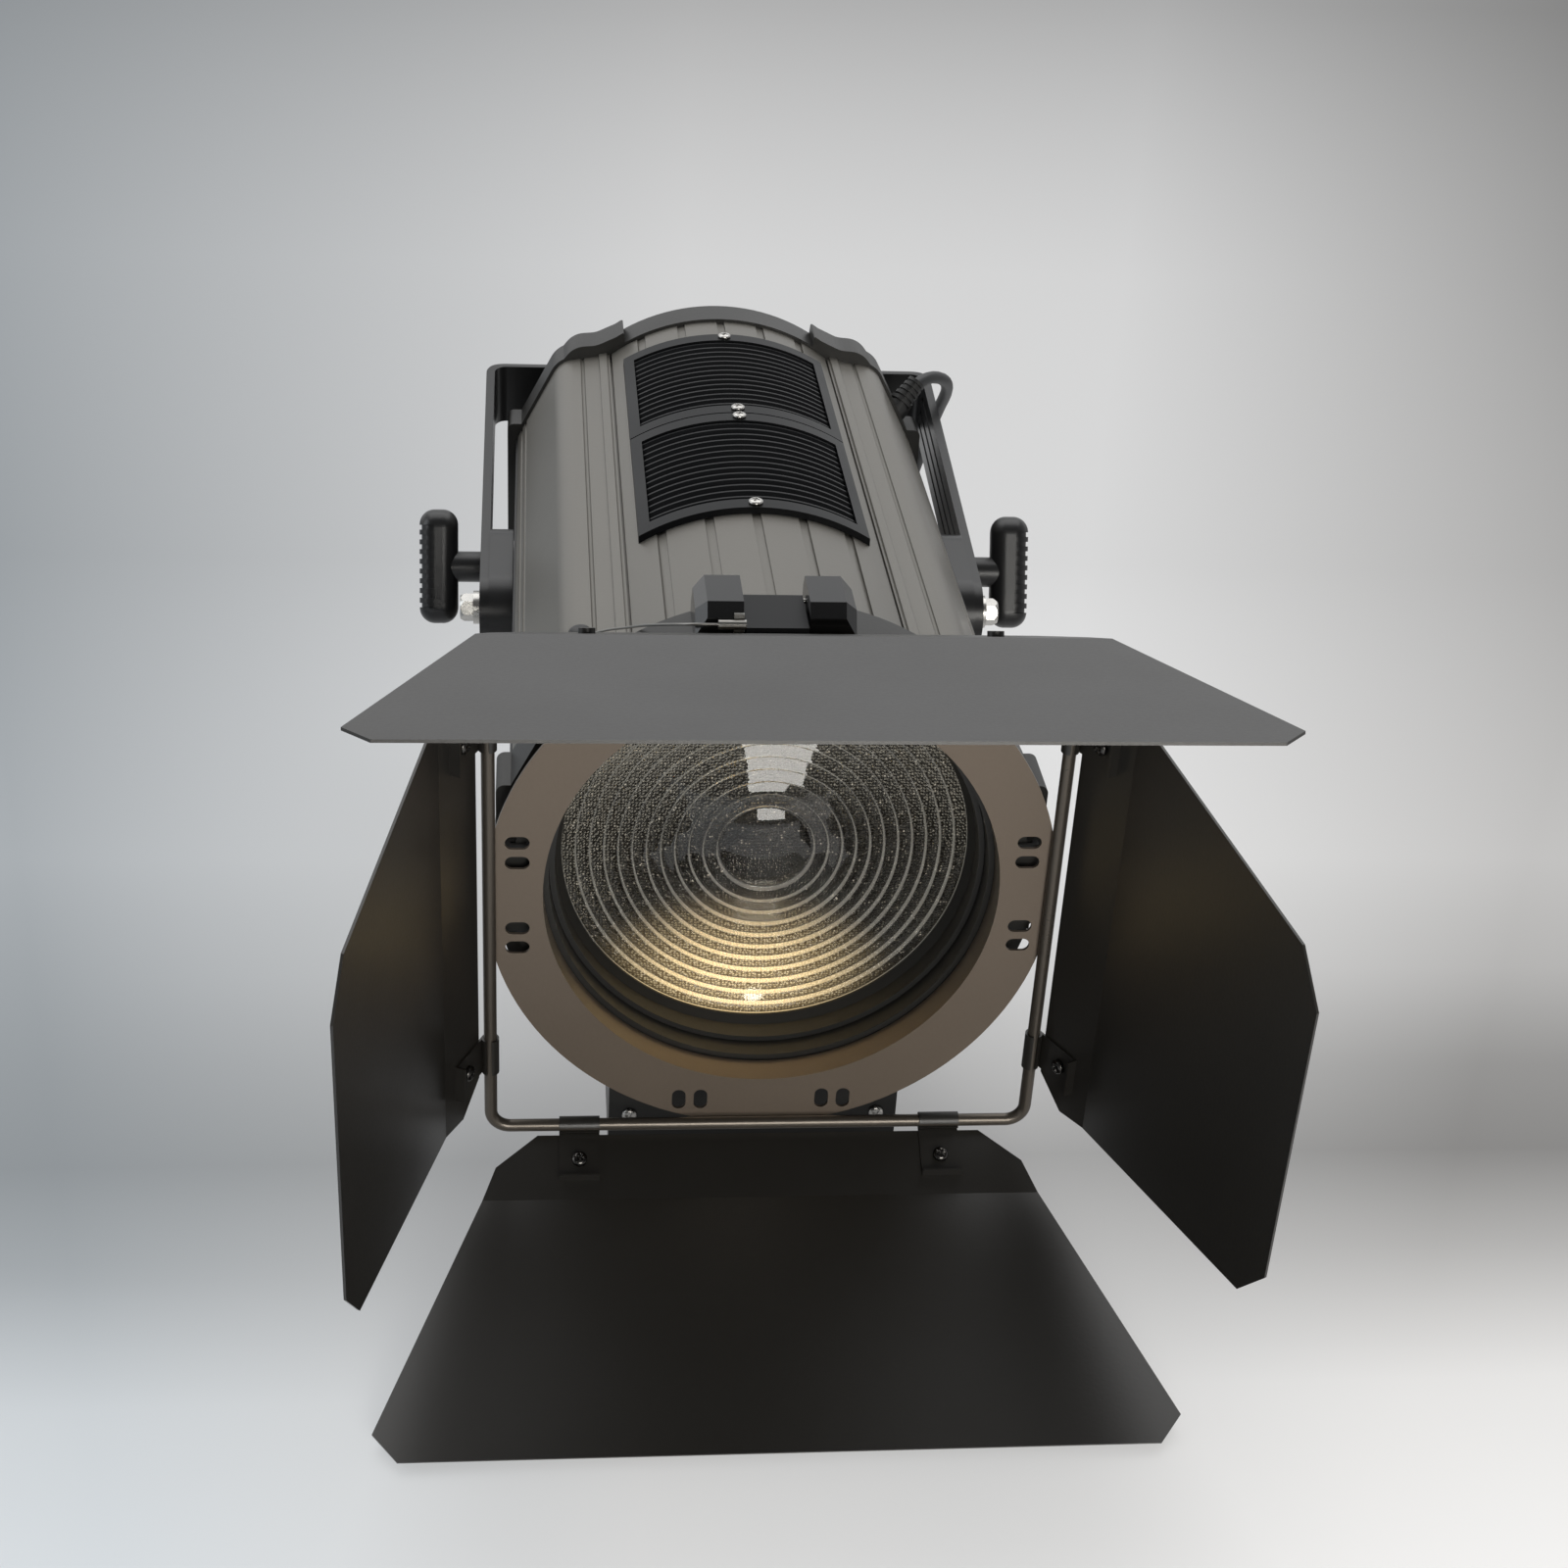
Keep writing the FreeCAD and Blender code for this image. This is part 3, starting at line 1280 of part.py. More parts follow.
def narrow_leaf():
    """The left and right leaf's shape."""
    halves = (NARROW_ROOT_HALF, NARROW_SHOULDER_HALF, NARROW_FOLD_HALF, NARROW_SPREAD_HALF, NARROW_TIP_HALF)
    reaches = (LEAF_ROOT_REACH, LEAF_SHOULDER_REACH, FOLD_REACH, NARROW_SPREAD_REACH, NARROW_TIP_REACH)
    return leaf(halves, reaches)


def clip(x):
    """A sheet strip rolled round the rod, with a strap under the leaf and a bent foot."""
    inner = ROD_RADIUS + CLIP_GAP
    outer = inner + CLIP_SHEET
    start, end = V(x - CLIP_WIDTH / 2, 0, 0), V(x + CLIP_WIDTH / 2, 0, 0)
    roll = tube(start, end, outer, inner)
    slit = block((start.x - CUT, end.x + CUT), (-2 * outer, -outer / CLIP_SLIT_SPLIT), (-CLIP_SLIT, 0))
    strap = block((start.x, end.x), (-CLIP_LENGTH, 0), (inner, outer))
    foot = block((start.x, end.x), (-CLIP_LENGTH, -CLIP_LENGTH + CLIP_SHEET), (inner - CLIP_FOOT, inner))
    hole = rod(
        V(x, -CLIP_SCREW_REACH, -CUT),
        V(x, -CLIP_SCREW_REACH, outer + CUT),
        SCREW_SHANK_RADIUS + FIT / 2,
    )
    return fused([roll.cut(slit), strap, foot]).cut(hole)


def clips_and_screws():
    """Two clips with their screws and nuts, as separate solids."""
    inner = ROD_RADIUS + CLIP_GAP
    through = CLIP_SHEET + SHEET
    solids = []
    for x in (-CLIP_PLACE, CLIP_PLACE):
        solids.append(clip(x))
        seat = V(x, -CLIP_SCREW_REACH, inner)
        screw = pan_screw(seat, V(0, 0, -1), through + SCREW_HEAD_HEIGHT)
        nut = rod(seat + V(0, 0, through), seat + V(0, 0, through + SCREW_HEAD_HEIGHT), SCREW_HEAD_RADIUS)
        solids.append(screw.fuse(nut))
    return Part.makeCompound(solids)


def hung(shape, rest_angle, around):
    """Opens a leaf to its rest angle, hangs it on the rod and turns it to its side of the frame."""
    opened = turned(shape, V(0, 0, 0), V(1, 0, 0), -rest_angle)
    return turned(moved(opened, 0, ROD_Y, frame_half()), V(0, 0, 0), V(0, 1, 0), around)


def pivot_boss(side):
    """A round boss pressed into the side wall, bored for the handle's stud."""
    start = V(side * (BOSS_FACE_X - BOSS_DEPTH), PIVOT_Y, PIVOT_Z)
    end = V(side * BOSS_FACE_X, PIVOT_Y, PIVOT_Z)
    return tube(start, end, BOSS_RADIUS, STUD_RADIUS + STUD_FIT)


def pivot_bosses():
    """Both bosses."""
    return Part.makeCompound([pivot_boss(-1), pivot_boss(1)])


def yoke_turned(shape):
    """Tilts a shape from the level yoke frame to the yoke's rest angle."""
    return turned(shape, V(0, PIVOT_Y, PIVOT_Z), V(1, 0, 0), YOKE_REST_ANGLE)


def stadium(x_low, x_high, half_height, front_y, back_y):
    """A level bar with round ends about two cross axes."""
    x_low, x_high = min(x_low, x_high), max(x_low, x_high)
    ends = [rod(V(x_low, y, PIVOT_Z), V(x_high, y, PIVOT_Z), half_height) for y in (front_y, back_y)]
    bar = block((x_low, x_high), (front_y, back_y), (PIVOT_Z - half_height, PIVOT_Z + half_height))
    return fused([bar] + ends)


def yoke():
    """The U-shaped bow bent from flat bar, with grooves on the inside of its arms."""
    bolt_y = PIVOT_Y - HUB_BOLT_AHEAD
    start_y, inner_y = bolt_y - YOKE_WIDTH, rear_end() + YOKE_SWING_GAP
    inner, outer = YOKE_INNER_HALF, YOKE_INNER_HALF + YOKE_THICK
    low = PIVOT_Z - YOKE_WIDTH / 2
    bend = YOKE_BEND
    out_wire = rounded(
        [
            V(-outer, start_y, low),
            V(outer, start_y, low),
            V(outer, inner_y + YOKE_THICK, low),
            V(-outer, inner_y + YOKE_THICK, low),
        ],
        [0, 0, bend, bend],
    )
    in_wire = rounded(
        [
            V(-inner, start_y - CUT, low),
            V(inner, start_y - CUT, low),
            V(inner, inner_y, low),
            V(-inner, inner_y, low),
        ],
        [0, 0, bend - YOKE_THICK, bend - YOKE_THICK],
    )
    tall = V(0, 0, YOKE_WIDTH)
    bow = prism(out_wire, tall).cut(prism(in_wire, tall))
    ends = stadium(-outer - CUT, outer + CUT, YOKE_WIDTH / 2, bolt_y, inner_y)
    bow = bow.common(ends)
    tools = [
        rod(V(0, inner_y - CUT, PIVOT_Z), V(0, inner_y + YOKE_THICK + CUT, PIVOT_Z), YOKE_HOLE_RADIUS),
        rod(V(-outer - CUT, PIVOT_Y, PIVOT_Z), V(outer + CUT, PIVOT_Y, PIVOT_Z), STUD_RADIUS + STUD_CLEAR),
        rod(V(-outer - CUT, bolt_y, PIVOT_Z), V(outer + CUT, bolt_y, PIVOT_Z), HEX_SHANK_RADIUS),
    ]
    for i in (-1, 0, 1):
        z = PIVOT_Z + i * YOKE_GROOVE_PITCH
        for side in (-1, 1):
            faces = sorted((side * (inner - CUT), side * (inner + YOKE_GROOVE_DEPTH)))
            tools.append(
                block(
                    faces,
                    (bolt_y, inner_y - bend),
                    (z - YOKE_GROOVE_WIDTH / 2, z + YOKE_GROOVE_WIDTH / 2),
                )
            )
    return yoke_turned(bow.cut(fused(tools)))


def yoke_hubs():
    """The moulded blocks inside the arms, round the pivot stud and the hexagon bolt."""
    bolt_y = PIVOT_Y - HUB_BOLT_AHEAD
    hubs = []
    for side in (-1, 1):
        near, far = side * (BOSS_FACE_X + HUB_CLEAR), side * YOKE_INNER_HALF
        block_shape = stadium(near, far, HUB_HALF_HEIGHT, bolt_y, PIVOT_Y)
        stud = rod(
            V(near - side * CUT, PIVOT_Y, PIVOT_Z),
            V(far + side * CUT, PIVOT_Y, PIVOT_Z),
            STUD_RADIUS + STUD_CLEAR,
        )
        bolt = rod(
            V(far - side * HUB_BOLT_DEPTH, bolt_y, PIVOT_Z),
            V(far + side * CUT, bolt_y, PIVOT_Z),
            HEX_SHANK_RADIUS,
        )
        hubs.append(yoke_turned(block_shape.cut(fused([stud, bolt]))))
    return Part.makeCompound(hubs)


def yoke_bolts():
    """A hexagon bolt and its washer stack on each arm, ahead of the pivot."""
    bolt_y = PIVOT_Y - HUB_BOLT_AHEAD
    bolts = []
    for side in (-1, 1):
        seat = side * (YOKE_INNER_HALF + YOKE_THICK)
        face = seat + side * WASHER_THICK
        tip = side * (YOKE_INNER_HALF - HUB_BOLT_DEPTH)
        washer = tube(V(seat, bolt_y, PIVOT_Z), V(face, bolt_y, PIVOT_Z), WASHER_RADIUS, HEX_SHANK_RADIUS)
        corner = HEX_ACROSS / 2 / math.cos(math.radians(30))
        angles = [math.radians(60 * i) for i in range(6)]
        corners = [V(face, bolt_y + corner * math.cos(a), PIVOT_Z + corner * math.sin(a)) for a in angles]
        head = prism(Part.makePolygon(corners + corners[:1]), V(side * HEX_HEIGHT, 0, 0))
        cone = Part.makeCone(
            corner + HEX_HEIGHT,
            HEX_ACROSS / 2 - HUB_CLEAR,
            HEX_HEIGHT + corner,
            V(face - side * corner, bolt_y, PIVOT_Z),
            V(side, 0, 0),
        )
        head = head.common(cone)
        shank = rod(V(face, bolt_y, PIVOT_Z), V(tip, bolt_y, PIVOT_Z), HEX_SHANK_RADIUS)
        bolts.append(yoke_turned(washer))
        bolts.append(yoke_turned(head.fuse(shank)))
    return Part.makeCompound(bolts)


def grip_shape(side, inset):
    """The cross grip, drawn in by inset: a bar with half-round ends, rounded on both faces."""
    start, end = side * (GRIP_START_X + inset), side * (GRIP_END_X - inset)
    half, reach = GRIP_DEPTH / 2 - inset, GRIP_LENGTH / 2 - GRIP_DEPTH / 2
    bar = block(sorted((start, end)), (PIVOT_Y - half, PIVOT_Y + half), (PIVOT_Z - reach, PIVOT_Z + reach))
    ends = [
        rod(V(start, PIVOT_Y, PIVOT_Z + z), V(end, PIVOT_Y, PIVOT_Z + z), half)
        for z in (-reach, reach)
    ]
    grip = fused([bar] + ends)
    rims = [e for e in grip.Edges if min(abs(e.CenterOfMass.x - start), abs(e.CenterOfMass.x - end)) < FIT]
    return grip.makeFillet(GRIP_ROUND - inset, rims)


def t_handle(side):
    """The clamping handle: a stud, a collar on the arm and a cross grip ribbed on its outer half."""
    inner, seat = side * (BOSS_FACE_X - BOSS_DEPTH), side * (YOKE_INNER_HALF + YOKE_THICK + STUD_FIT)
    start, end = side * GRIP_START_X, side * GRIP_END_X
    stud = rod(V(inner, PIVOT_Y, PIVOT_Z), V(start, PIVOT_Y, PIVOT_Z), STUD_RADIUS)
    collar = rod(
        V(seat, PIVOT_Y, PIVOT_Z),
        V(start + side * GRIP_ROUND, PIVOT_Y, PIVOT_Z),
        KNOB_COLLAR_RADIUS,
    )
    reach = GRIP_LENGTH / 2 - GRIP_DEPTH / 2
    pitch = 2 * reach / (GRIP_NOTCHES - 1)
    outer = sorted((end - side * GRIP_NOTCH_REACH, end + side * CUT))
    notches = []
    for i in range(GRIP_NOTCHES):
        z = PIVOT_Z - reach + i * pitch
        notches.append(
            block(
                outer,
                (PIVOT_Y - GRIP_DEPTH, PIVOT_Y + GRIP_DEPTH),
                (z - GRIP_NOTCH_WIDTH / 2, z + GRIP_NOTCH_WIDTH / 2),
            )
        )
    notches = Part.makeCompound(notches).cut(grip_shape(side, GRIP_NOTCH_DEPTH))
    grip = grip_shape(side, 0).cut(notches)
    return turned(fused([stud, collar, grip]), V(0, PIVOT_Y, PIVOT_Z), V(1, 0, 0), -GRIP_TILT)


def box_bottom_z():
    """The underside of the driver box, on top of the pad."""
    return BASE_Z + PAD_THICK


def box_shape(inset):
    """The driver box's outline drawn in by inset: its front end is lower, under the front cap."""
    half, bottom, bend = BOX_HALF_X - inset, box_bottom_z() + inset, BOX_ROUND - inset
    parts = []
    for top, front in ((BELLY_Z - FRONT_CAP_PROUD, BOX_FRONT_Y), (BELLY_Z, BODY_START_Y + FIT)):
        y, top = front + inset, top - inset
        wire = rounded(
            [V(-half, y, top), V(half, y, top), V(half, y, bottom), V(-half, y, bottom)],
            [0, 0, bend, bend],
        )
        parts.append(prism(wire, V(0, BOX_BACK_Y - inset - y, 0)))
    return parts[0].fuse(parts[1])


def box_screw_places():
    """The two screws in the driver box's front."""
    return [V(side * BOX_SCREW_X, BOX_FRONT_Y, BOX_SCREW_Z) for side in (-1, 1)]


def driver_box():
    """The closed sheet box under the barrel that holds the power supply."""
    into = V(0, BOX_WALL + CUT, 0)
    holes = [rod(p - into, p + into, SCREW_SHANK_RADIUS) for p in box_screw_places()]
    return cut_by(box_shape(0).cut(box_shape(BOX_WALL)), holes)


def driver_box_screws():
    """The screws in the driver box's front."""
    return Part.makeCompound([pan_screw(p, V(0, -1, 0), BOX_SCREW_LENGTH) for p in box_screw_places()])


def base_pad():
    """The flat rubber pad under the driver box."""
    wire = rounded(
        [
            V(-PAD_HALF_X, BOX_FRONT_Y + PAD_INSET, BASE_Z),
            V(PAD_HALF_X, BOX_FRONT_Y + PAD_INSET, BASE_Z),
            V(PAD_HALF_X, BOX_BACK_Y - PAD_INSET, BASE_Z),
            V(-PAD_HALF_X, BOX_BACK_Y - PAD_INSET, BASE_Z),
        ],
        [BOX_ROUND] * 4,
    )
    return prism(wire, V(0, 0, PAD_THICK))


def power_supply():
    """The ribbed power supply on the driver box's floor."""
    low = box_bottom_z() + BOX_WALL
    half = SUPPLY_WIDTH / 2
    end = SUPPLY_START_Y + SUPPLY_LENGTH
    solid = block((-half, half), (SUPPLY_START_Y, end), (low, low + SUPPLY_HEIGHT))
    pitch = SUPPLY_WIDTH / SUPPLY_FIN_COUNT
    slots = []
    for i in range(SUPPLY_FIN_COUNT):
        x = -half + (i + 1 / 2) * pitch
        slots.append(
            block(
                (x - SUPPLY_FIN / 2, x + SUPPLY_FIN / 2),
                (SUPPLY_START_Y - CUT, end + CUT),
                (low + SUPPLY_HEIGHT - SUPPLY_FIN, low + SUPPLY_HEIGHT + CUT),
            )
        )
    return solid.cut(fused(slots))


def rail_places():
    """Where the two guide rods run, as (x, z)."""
    return [(side * RAIL_X, RAIL_Z) for side in (-1, 1)]


def rail_front_y():
    """The guide rods' front ends, in sockets in the front cap."""
    return BODY_START_Y + CAP_OVERLAP - RAIL_SOCKET


def guide_rods():
    """Two steel rods from the front cap to the bulkhead."""
    end = BULKHEAD_Y + BULKHEAD_THICK
    return Part.makeCompound(
        [rod(V(x, rail_front_y(), z), V(x, end, z), RAIL_RADIUS) for x, z in rail_places()]
    )


def bulkhead():
    """The frame across the rear of the body that carries the rods and the zoom motor."""
    back = BULKHEAD_Y + BULKHEAD_THICK
    plate = body_lower(BULKHEAD_Y, back, -WALL - FIT)
    plate = plate.common(block((-WIDEST_X, WIDEST_X), (BULKHEAD_Y, back), (BELLY_Z, WIDEST_BOTTOM_Z)))
    foot = block(
        (-BULKHEAD_FOOT_HALF, BULKHEAD_FOOT_HALF),
        (BULKHEAD_Y - BULKHEAD_FOOT, back),
        (BELLY_Z + WALL, BELLY_Z + WALL + BULKHEAD_THICK),
    )
    opening = rod(
        V(0, BULKHEAD_Y - CUT, BULKHEAD_OPEN_Z),
        V(0, back + CUT, BULKHEAD_OPEN_Z),
        BULKHEAD_OPEN_RADIUS,
    )
    holes = [rod(V(x, BULKHEAD_Y - CUT, z), V(x, back + CUT, z), RAIL_RADIUS) for x, z in rail_places()]
    holes.append(
        rod(
            V(0, BULKHEAD_Y - BULKHEAD_FOOT - CUT, SCREW_Z),
            V(0, back + CUT, SCREW_Z),
            COUPLER_RADIUS + FIT,
        )
    )
    return cut_by(plate.fuse(foot), [opening] + holes)


def zoom_motor():
    """A square stepping motor on the bulkhead's back, with its shaft forward."""
    front = BULKHEAD_Y + BULKHEAD_THICK
    half = MOTOR_SIZE / 2
    corners = [
        V(-half, front, SCREW_Z - half),
        V(half, front, SCREW_Z - half),
        V(half, front, SCREW_Z + half),
        V(-half, front, SCREW_Z + half),
    ]
    return prism(rounded(corners, [MOTOR_CORNER] * 4), V(0, MOTOR_LENGTH, 0))


def lead_screw():
    """The threaded zoom spindle with the coupler at its motor end."""
    turns = []
    end = BULKHEAD_Y + BULKHEAD_THICK - FIT
    spindle = rod(V(0, SCREW_START_Y, SCREW_Z), V(0, end, SCREW_Z), SCREW_RADIUS)
    coupler = rod(V(0, end - COUPLER_LENGTH, SCREW_Z), V(0, end, SCREW_Z), COUPLER_RADIUS)
    flat = block(
        (COUPLER_RADIUS - THREAD_DEPTH, COUPLER_RADIUS + CUT),
        (end - COUPLER_LENGTH - CUT, end + CUT),
        (SCREW_Z - COUPLER_RADIUS, SCREW_Z + COUPLER_RADIUS),
    )
    y = SCREW_START_Y + THREAD_PITCH
    while y < end - COUPLER_LENGTH - THREAD_PITCH:
        turns.append(
            tube(
                V(0, y, SCREW_Z),
                V(0, y + THREAD_WIDTH, SCREW_Z),
                SCREW_RADIUS + CUT,
                SCREW_RADIUS - THREAD_DEPTH,
            )
        )
        y += THREAD_PITCH
    return cut_by(spindle.fuse(coupler), turns + [flat])


def carriage_plate():
    """The sliding plate with ears on the guide rods and a nut on the zoom spindle."""
    front, back = CARRIAGE_Y, CARRIAGE_Y + CARRIAGE_THICK
    solids = [rod(V(0, front, 0), V(0, back, 0), CARRIAGE_RADIUS)]
    bushes = []
    for x, z in rail_places():
        across, high = sorted((x / CARRIAGE_ARM_SPLIT, x)), z + CARRIAGE_EAR_RADIUS * CARRIAGE_ARM_SHARE
        solids.append(block(across, (front, back), (z, high)))
        bushes.append(
            rod(V(x, front - NUT_LENGTH / 2, z), V(x, back + NUT_LENGTH / 2, z), CARRIAGE_EAR_RADIUS)
        )
    solids.append(
        block(
            (-RAIL_X, RAIL_X),
            (front, back),
            (RAIL_Z - CARRIAGE_EAR_RADIUS, RAIL_Z + CARRIAGE_EAR_RADIUS),
        )
    )
    nut = rod(V(0, front - NUT_LENGTH / 2, SCREW_Z), V(0, back + NUT_LENGTH / 2, SCREW_Z), NUT_RADIUS)
    holes = [
        rod(V(x, front - NUT_LENGTH, z), V(x, back + NUT_LENGTH, z), RAIL_RADIUS + RAIL_FIT)
        for x, z in rail_places()
    ]
    holes.append(
        rod(V(0, front - NUT_LENGTH, SCREW_Z), V(0, back + NUT_LENGTH, SCREW_Z), SCREW_RADIUS + RAIL_FIT)
    )
    return cut_by(fused(solids + bushes + [nut]), holes)


def heat_sink():
    """The finned block behind the light source."""
    front = CARRIAGE_Y + CARRIAGE_THICK
    half = SINK_SIZE / 2
    base = block((-half, half), (front, front + SINK_BASE), (-half, half))
    pitch = (SINK_SIZE - SINK_FIN) / (SINK_FIN_COUNT - 1)
    fins = []
    for i in range(SINK_FIN_COUNT):
        x = -half + i * pitch
        fins.append(block((x, x + SINK_FIN), (front + SINK_BASE - CUT, front + SINK_DEPTH), (-half, half)))
    return fused([base] + fins)


def led_board():
    """The round light-source board with its chip and a seated primary lens."""
    board = rod(V(0, CARRIAGE_Y - BOARD_THICK, 0), V(0, CARRIAGE_Y, 0), BOARD_RADIUS)
    seat_y = CARRIAGE_Y - BOARD_THICK - DOME_LENS_SEAT
    ring = rod(V(0, seat_y, 0), V(0, CARRIAGE_Y - BOARD_THICK, 0), DOME_LENS_RING)
    cap = Part.makeSphere(DOME_LENS_RADIUS, V(0, seat_y, 0)).common(
        block((-BOARD_RADIUS, BOARD_RADIUS), (seat_y - BOARD_RADIUS, seat_y), (-BOARD_RADIUS, BOARD_RADIUS))
    )
    return fused([board, ring, cap])


def cable_gland():
    """The ribbed boot in the rear cap's slanted side, bored for the cord."""
    points = [(0, -GLAND_DEPTH), (GLAND_RADIUS, -GLAND_DEPTH), (GLAND_RADIUS, GLAND_RIB_WIDTH)]
    pitch = (GLAND_LENGTH - GLAND_RIB_WIDTH) / GLAND_RIBS
    taper = (GLAND_RADIUS - GLAND_TIP_RADIUS) / GLAND_RIBS
    for i in range(GLAND_RIBS):
        start, radius = GLAND_RIB_WIDTH + i * pitch, GLAND_RADIUS - (i + 1) * taper
        points += [
            (radius - GLAND_RIB_DEPTH, start),
            (radius - GLAND_RIB_DEPTH, start + pitch - GLAND_RIB_WIDTH),
        ]
        points += [(radius, start + pitch - GLAND_RIB_WIDTH), (radius, start + pitch)]
    points += [(0, GLAND_LENGTH)]
    boot = revolved(points)
    way = V(*GLAND_WAY).normalize()
    boot.Placement = FreeCAD.Placement(gland_point(0), FreeCAD.Rotation(V(0, 1, 0), way))
    return boot.cut(rod(gland_point(CORD_START), gland_point(GLAND_LENGTH + CUT), CORD_RADIUS))


def coil_start():
    """Where the cord's floor run meets the coil."""
    return behind(COIL_CENTRE[0] + COIL_OUTER, COIL_CENTRE[1], BASE_Z + CORD_RADIUS)


def cord_path():
    """From the gland over the yoke's right arm, down behind it and along the floor to the coil."""
    end = coil_start()
    points = [gland_point(CORD_START), gland_point(CORD_CREST)]
    points += [behind(*place) for place in (CORD_OVER_ARM, CORD_BELOW_ARM, CORD_BEHIND)]
    return arc_path(points + [end - V(0, CORD_FLOOR_RUN, 0), end])


def power_cord():
    """The free length of the cord."""
    return piped(cord_path(), CORD_RADIUS)


def half_turn(x, y, z, radius, from_angle):
    """A half circle in a level plane, counter-clockwise from an angle in degrees."""
    angles = [math.radians(from_angle + a) for a in (0, 90, 180)]
    first, middle, last = [V(x + radius * math.cos(a), y + radius * math.sin(a), z) for a in angles]
    return Part.Arc(first, middle, last).toShape()


def coil_path():
    """Two layers of half circles: inwards on the floor, up on the inside, outwards on top."""
    x, y = COIL_CENTRE[0], rear_end() + COIL_CENTRE[1]
    low = BASE_Z + CORD_RADIUS
    edges, radius = [], COIL_OUTER
    for i in range(COIL_HALF_TURNS):
        shift = COIL_HALF_STEP * (i % 2)
        edges.append(half_turn(x - shift, y, low, radius, 180 * (i % 2)))
        radius -= COIL_HALF_STEP
    inner = radius
    reach = math.sqrt(2 * inner**2 + COIL_RISE**2 / 2) - inner
    first, last = V(x + inner, y, low), V(x, y + inner, low + COIL_RISE)
    lower, upper = first + V(0, reach, 0), last + V(reach, 0, 0)
    edges.append(corner_arc(first, lower, upper, reach))
    edges.append(corner_arc(lower, upper, last, reach))
    for i in range(COIL_HALF_TURNS):
        radius += COIL_HALF_STEP
        shift = COIL_HALF_STEP * ((i + 1) % 2)
        edges.append(half_turn(x, y - shift, low + COIL_RISE, radius, 90 + 180 * (i % 2)))
    end = V(x, y + COIL_OUTER, low + COIL_RISE)
    tail = cord_tail(edges)
    edges.append(Part.LineSegment(end, end - V(tail, 0, 0)).toShape())
    return edges


def cord_tail(coil_edges):
    """The straight run to the plug that makes up the cord's whole length."""
    used = cord_path().Length + sum(e.Length for e in coil_edges) + PLUG_NECK_LENGTH
    return CORD_LENGTH - used


def coil_gap(edges):
    """The least gap between stretches of the coil that lie further apart along it than a few diameters."""
    points, along, length = [], [], 0.0
    for edge in edges:
        count = max(2, round(edge.Length / CORD_RADIUS))
        for i in range(count):
            points.append(edge.valueAt(edge.getParameterByLength(edge.Length * i / count)))
            along.append(length + edge.Length * i / count)
        length += edge.Length
    apart = GAP_SAMPLE_DIAMETERS * 2 * CORD_RADIUS
    pairs = [
        points[i].distanceToPoint(points[j])
        for i in range(len(points))
        for j in range(i + 1, len(points))
        if along[j] - along[i] > apart
    ]
    return min(pairs) - 2 * CORD_RADIUS


def cord_coil():
    """The coiled part of the cord, swept piece by piece."""
    edges = coil_path()
    print("cord coil: least gap to itself %.2f mm" % coil_gap(edges))
    return fused([piped(Part.Wire([edge]), CORD_RADIUS) for edge in edges])


def cord_plug():
    """A moulded plug with two blades and an earth pin, lying behind the lamp."""
    last = coil_path()[-1]
    start = last.valueAt(last.LastParameter)
    neck = start - V(PLUG_NECK_LENGTH, 0, 0)
    end = neck - V(PLUG_BODY_LENGTH, 0, 0)
    sleeve = Part.makeCone(
        PLUG_NECK_RADIUS,
        PLUG_BODY_RADIUS - PLUG_FACE,
        PLUG_NECK_LENGTH,
        start,
        V(-1, 0, 0),
    )
    body = rod(neck, end, PLUG_BODY_RADIUS)
    body = body.makeFillet(PLUG_FACE / 2, [e for e in body.Edges if e.Closed])
    solids = [sleeve, body]
    for side in (-1, 1):
        y, z = end.y + side * BLADE_HALF_SPACING, end.z - BLADE_DROP
        solids.append(
            block(
                (end.x - BLADE_LENGTH, end.x + CUT),
                (y - BLADE_THICK / 2, y + BLADE_THICK / 2),
                (z - BLADE_HEIGHT / 2, z + BLADE_HEIGHT / 2),
            )
        )
    pin = V(0, 0, EARTH_PIN_RISE)
    solids.append(rod(end + pin + V(CUT, 0, 0), end + pin - V(EARTH_PIN_LENGTH, 0, 0), EARTH_PIN_RADIUS))
    return fused(solids)


def leaves():
    """The four leaves and their clips, each opened to its own rest angle."""
    sides = (
        ("top", wide_leaf, WIDE_REST_ANGLE, 0),
        ("right", narrow_leaf, RIGHT_REST_ANGLE, 90),
        ("bottom", wide_leaf, WIDE_REST_ANGLE, 180),
        ("left", narrow_leaf, LEFT_REST_ANGLE, 270),
    )
    nodes = []
    for name, shape, angle, around in sides:
        nodes.append(("leaf_" + name, hung(shape(), angle, around)))
        nodes.append(("leaf_" + name + "_clips", hung(clips_and_screws(), angle, around)))
    return nodes


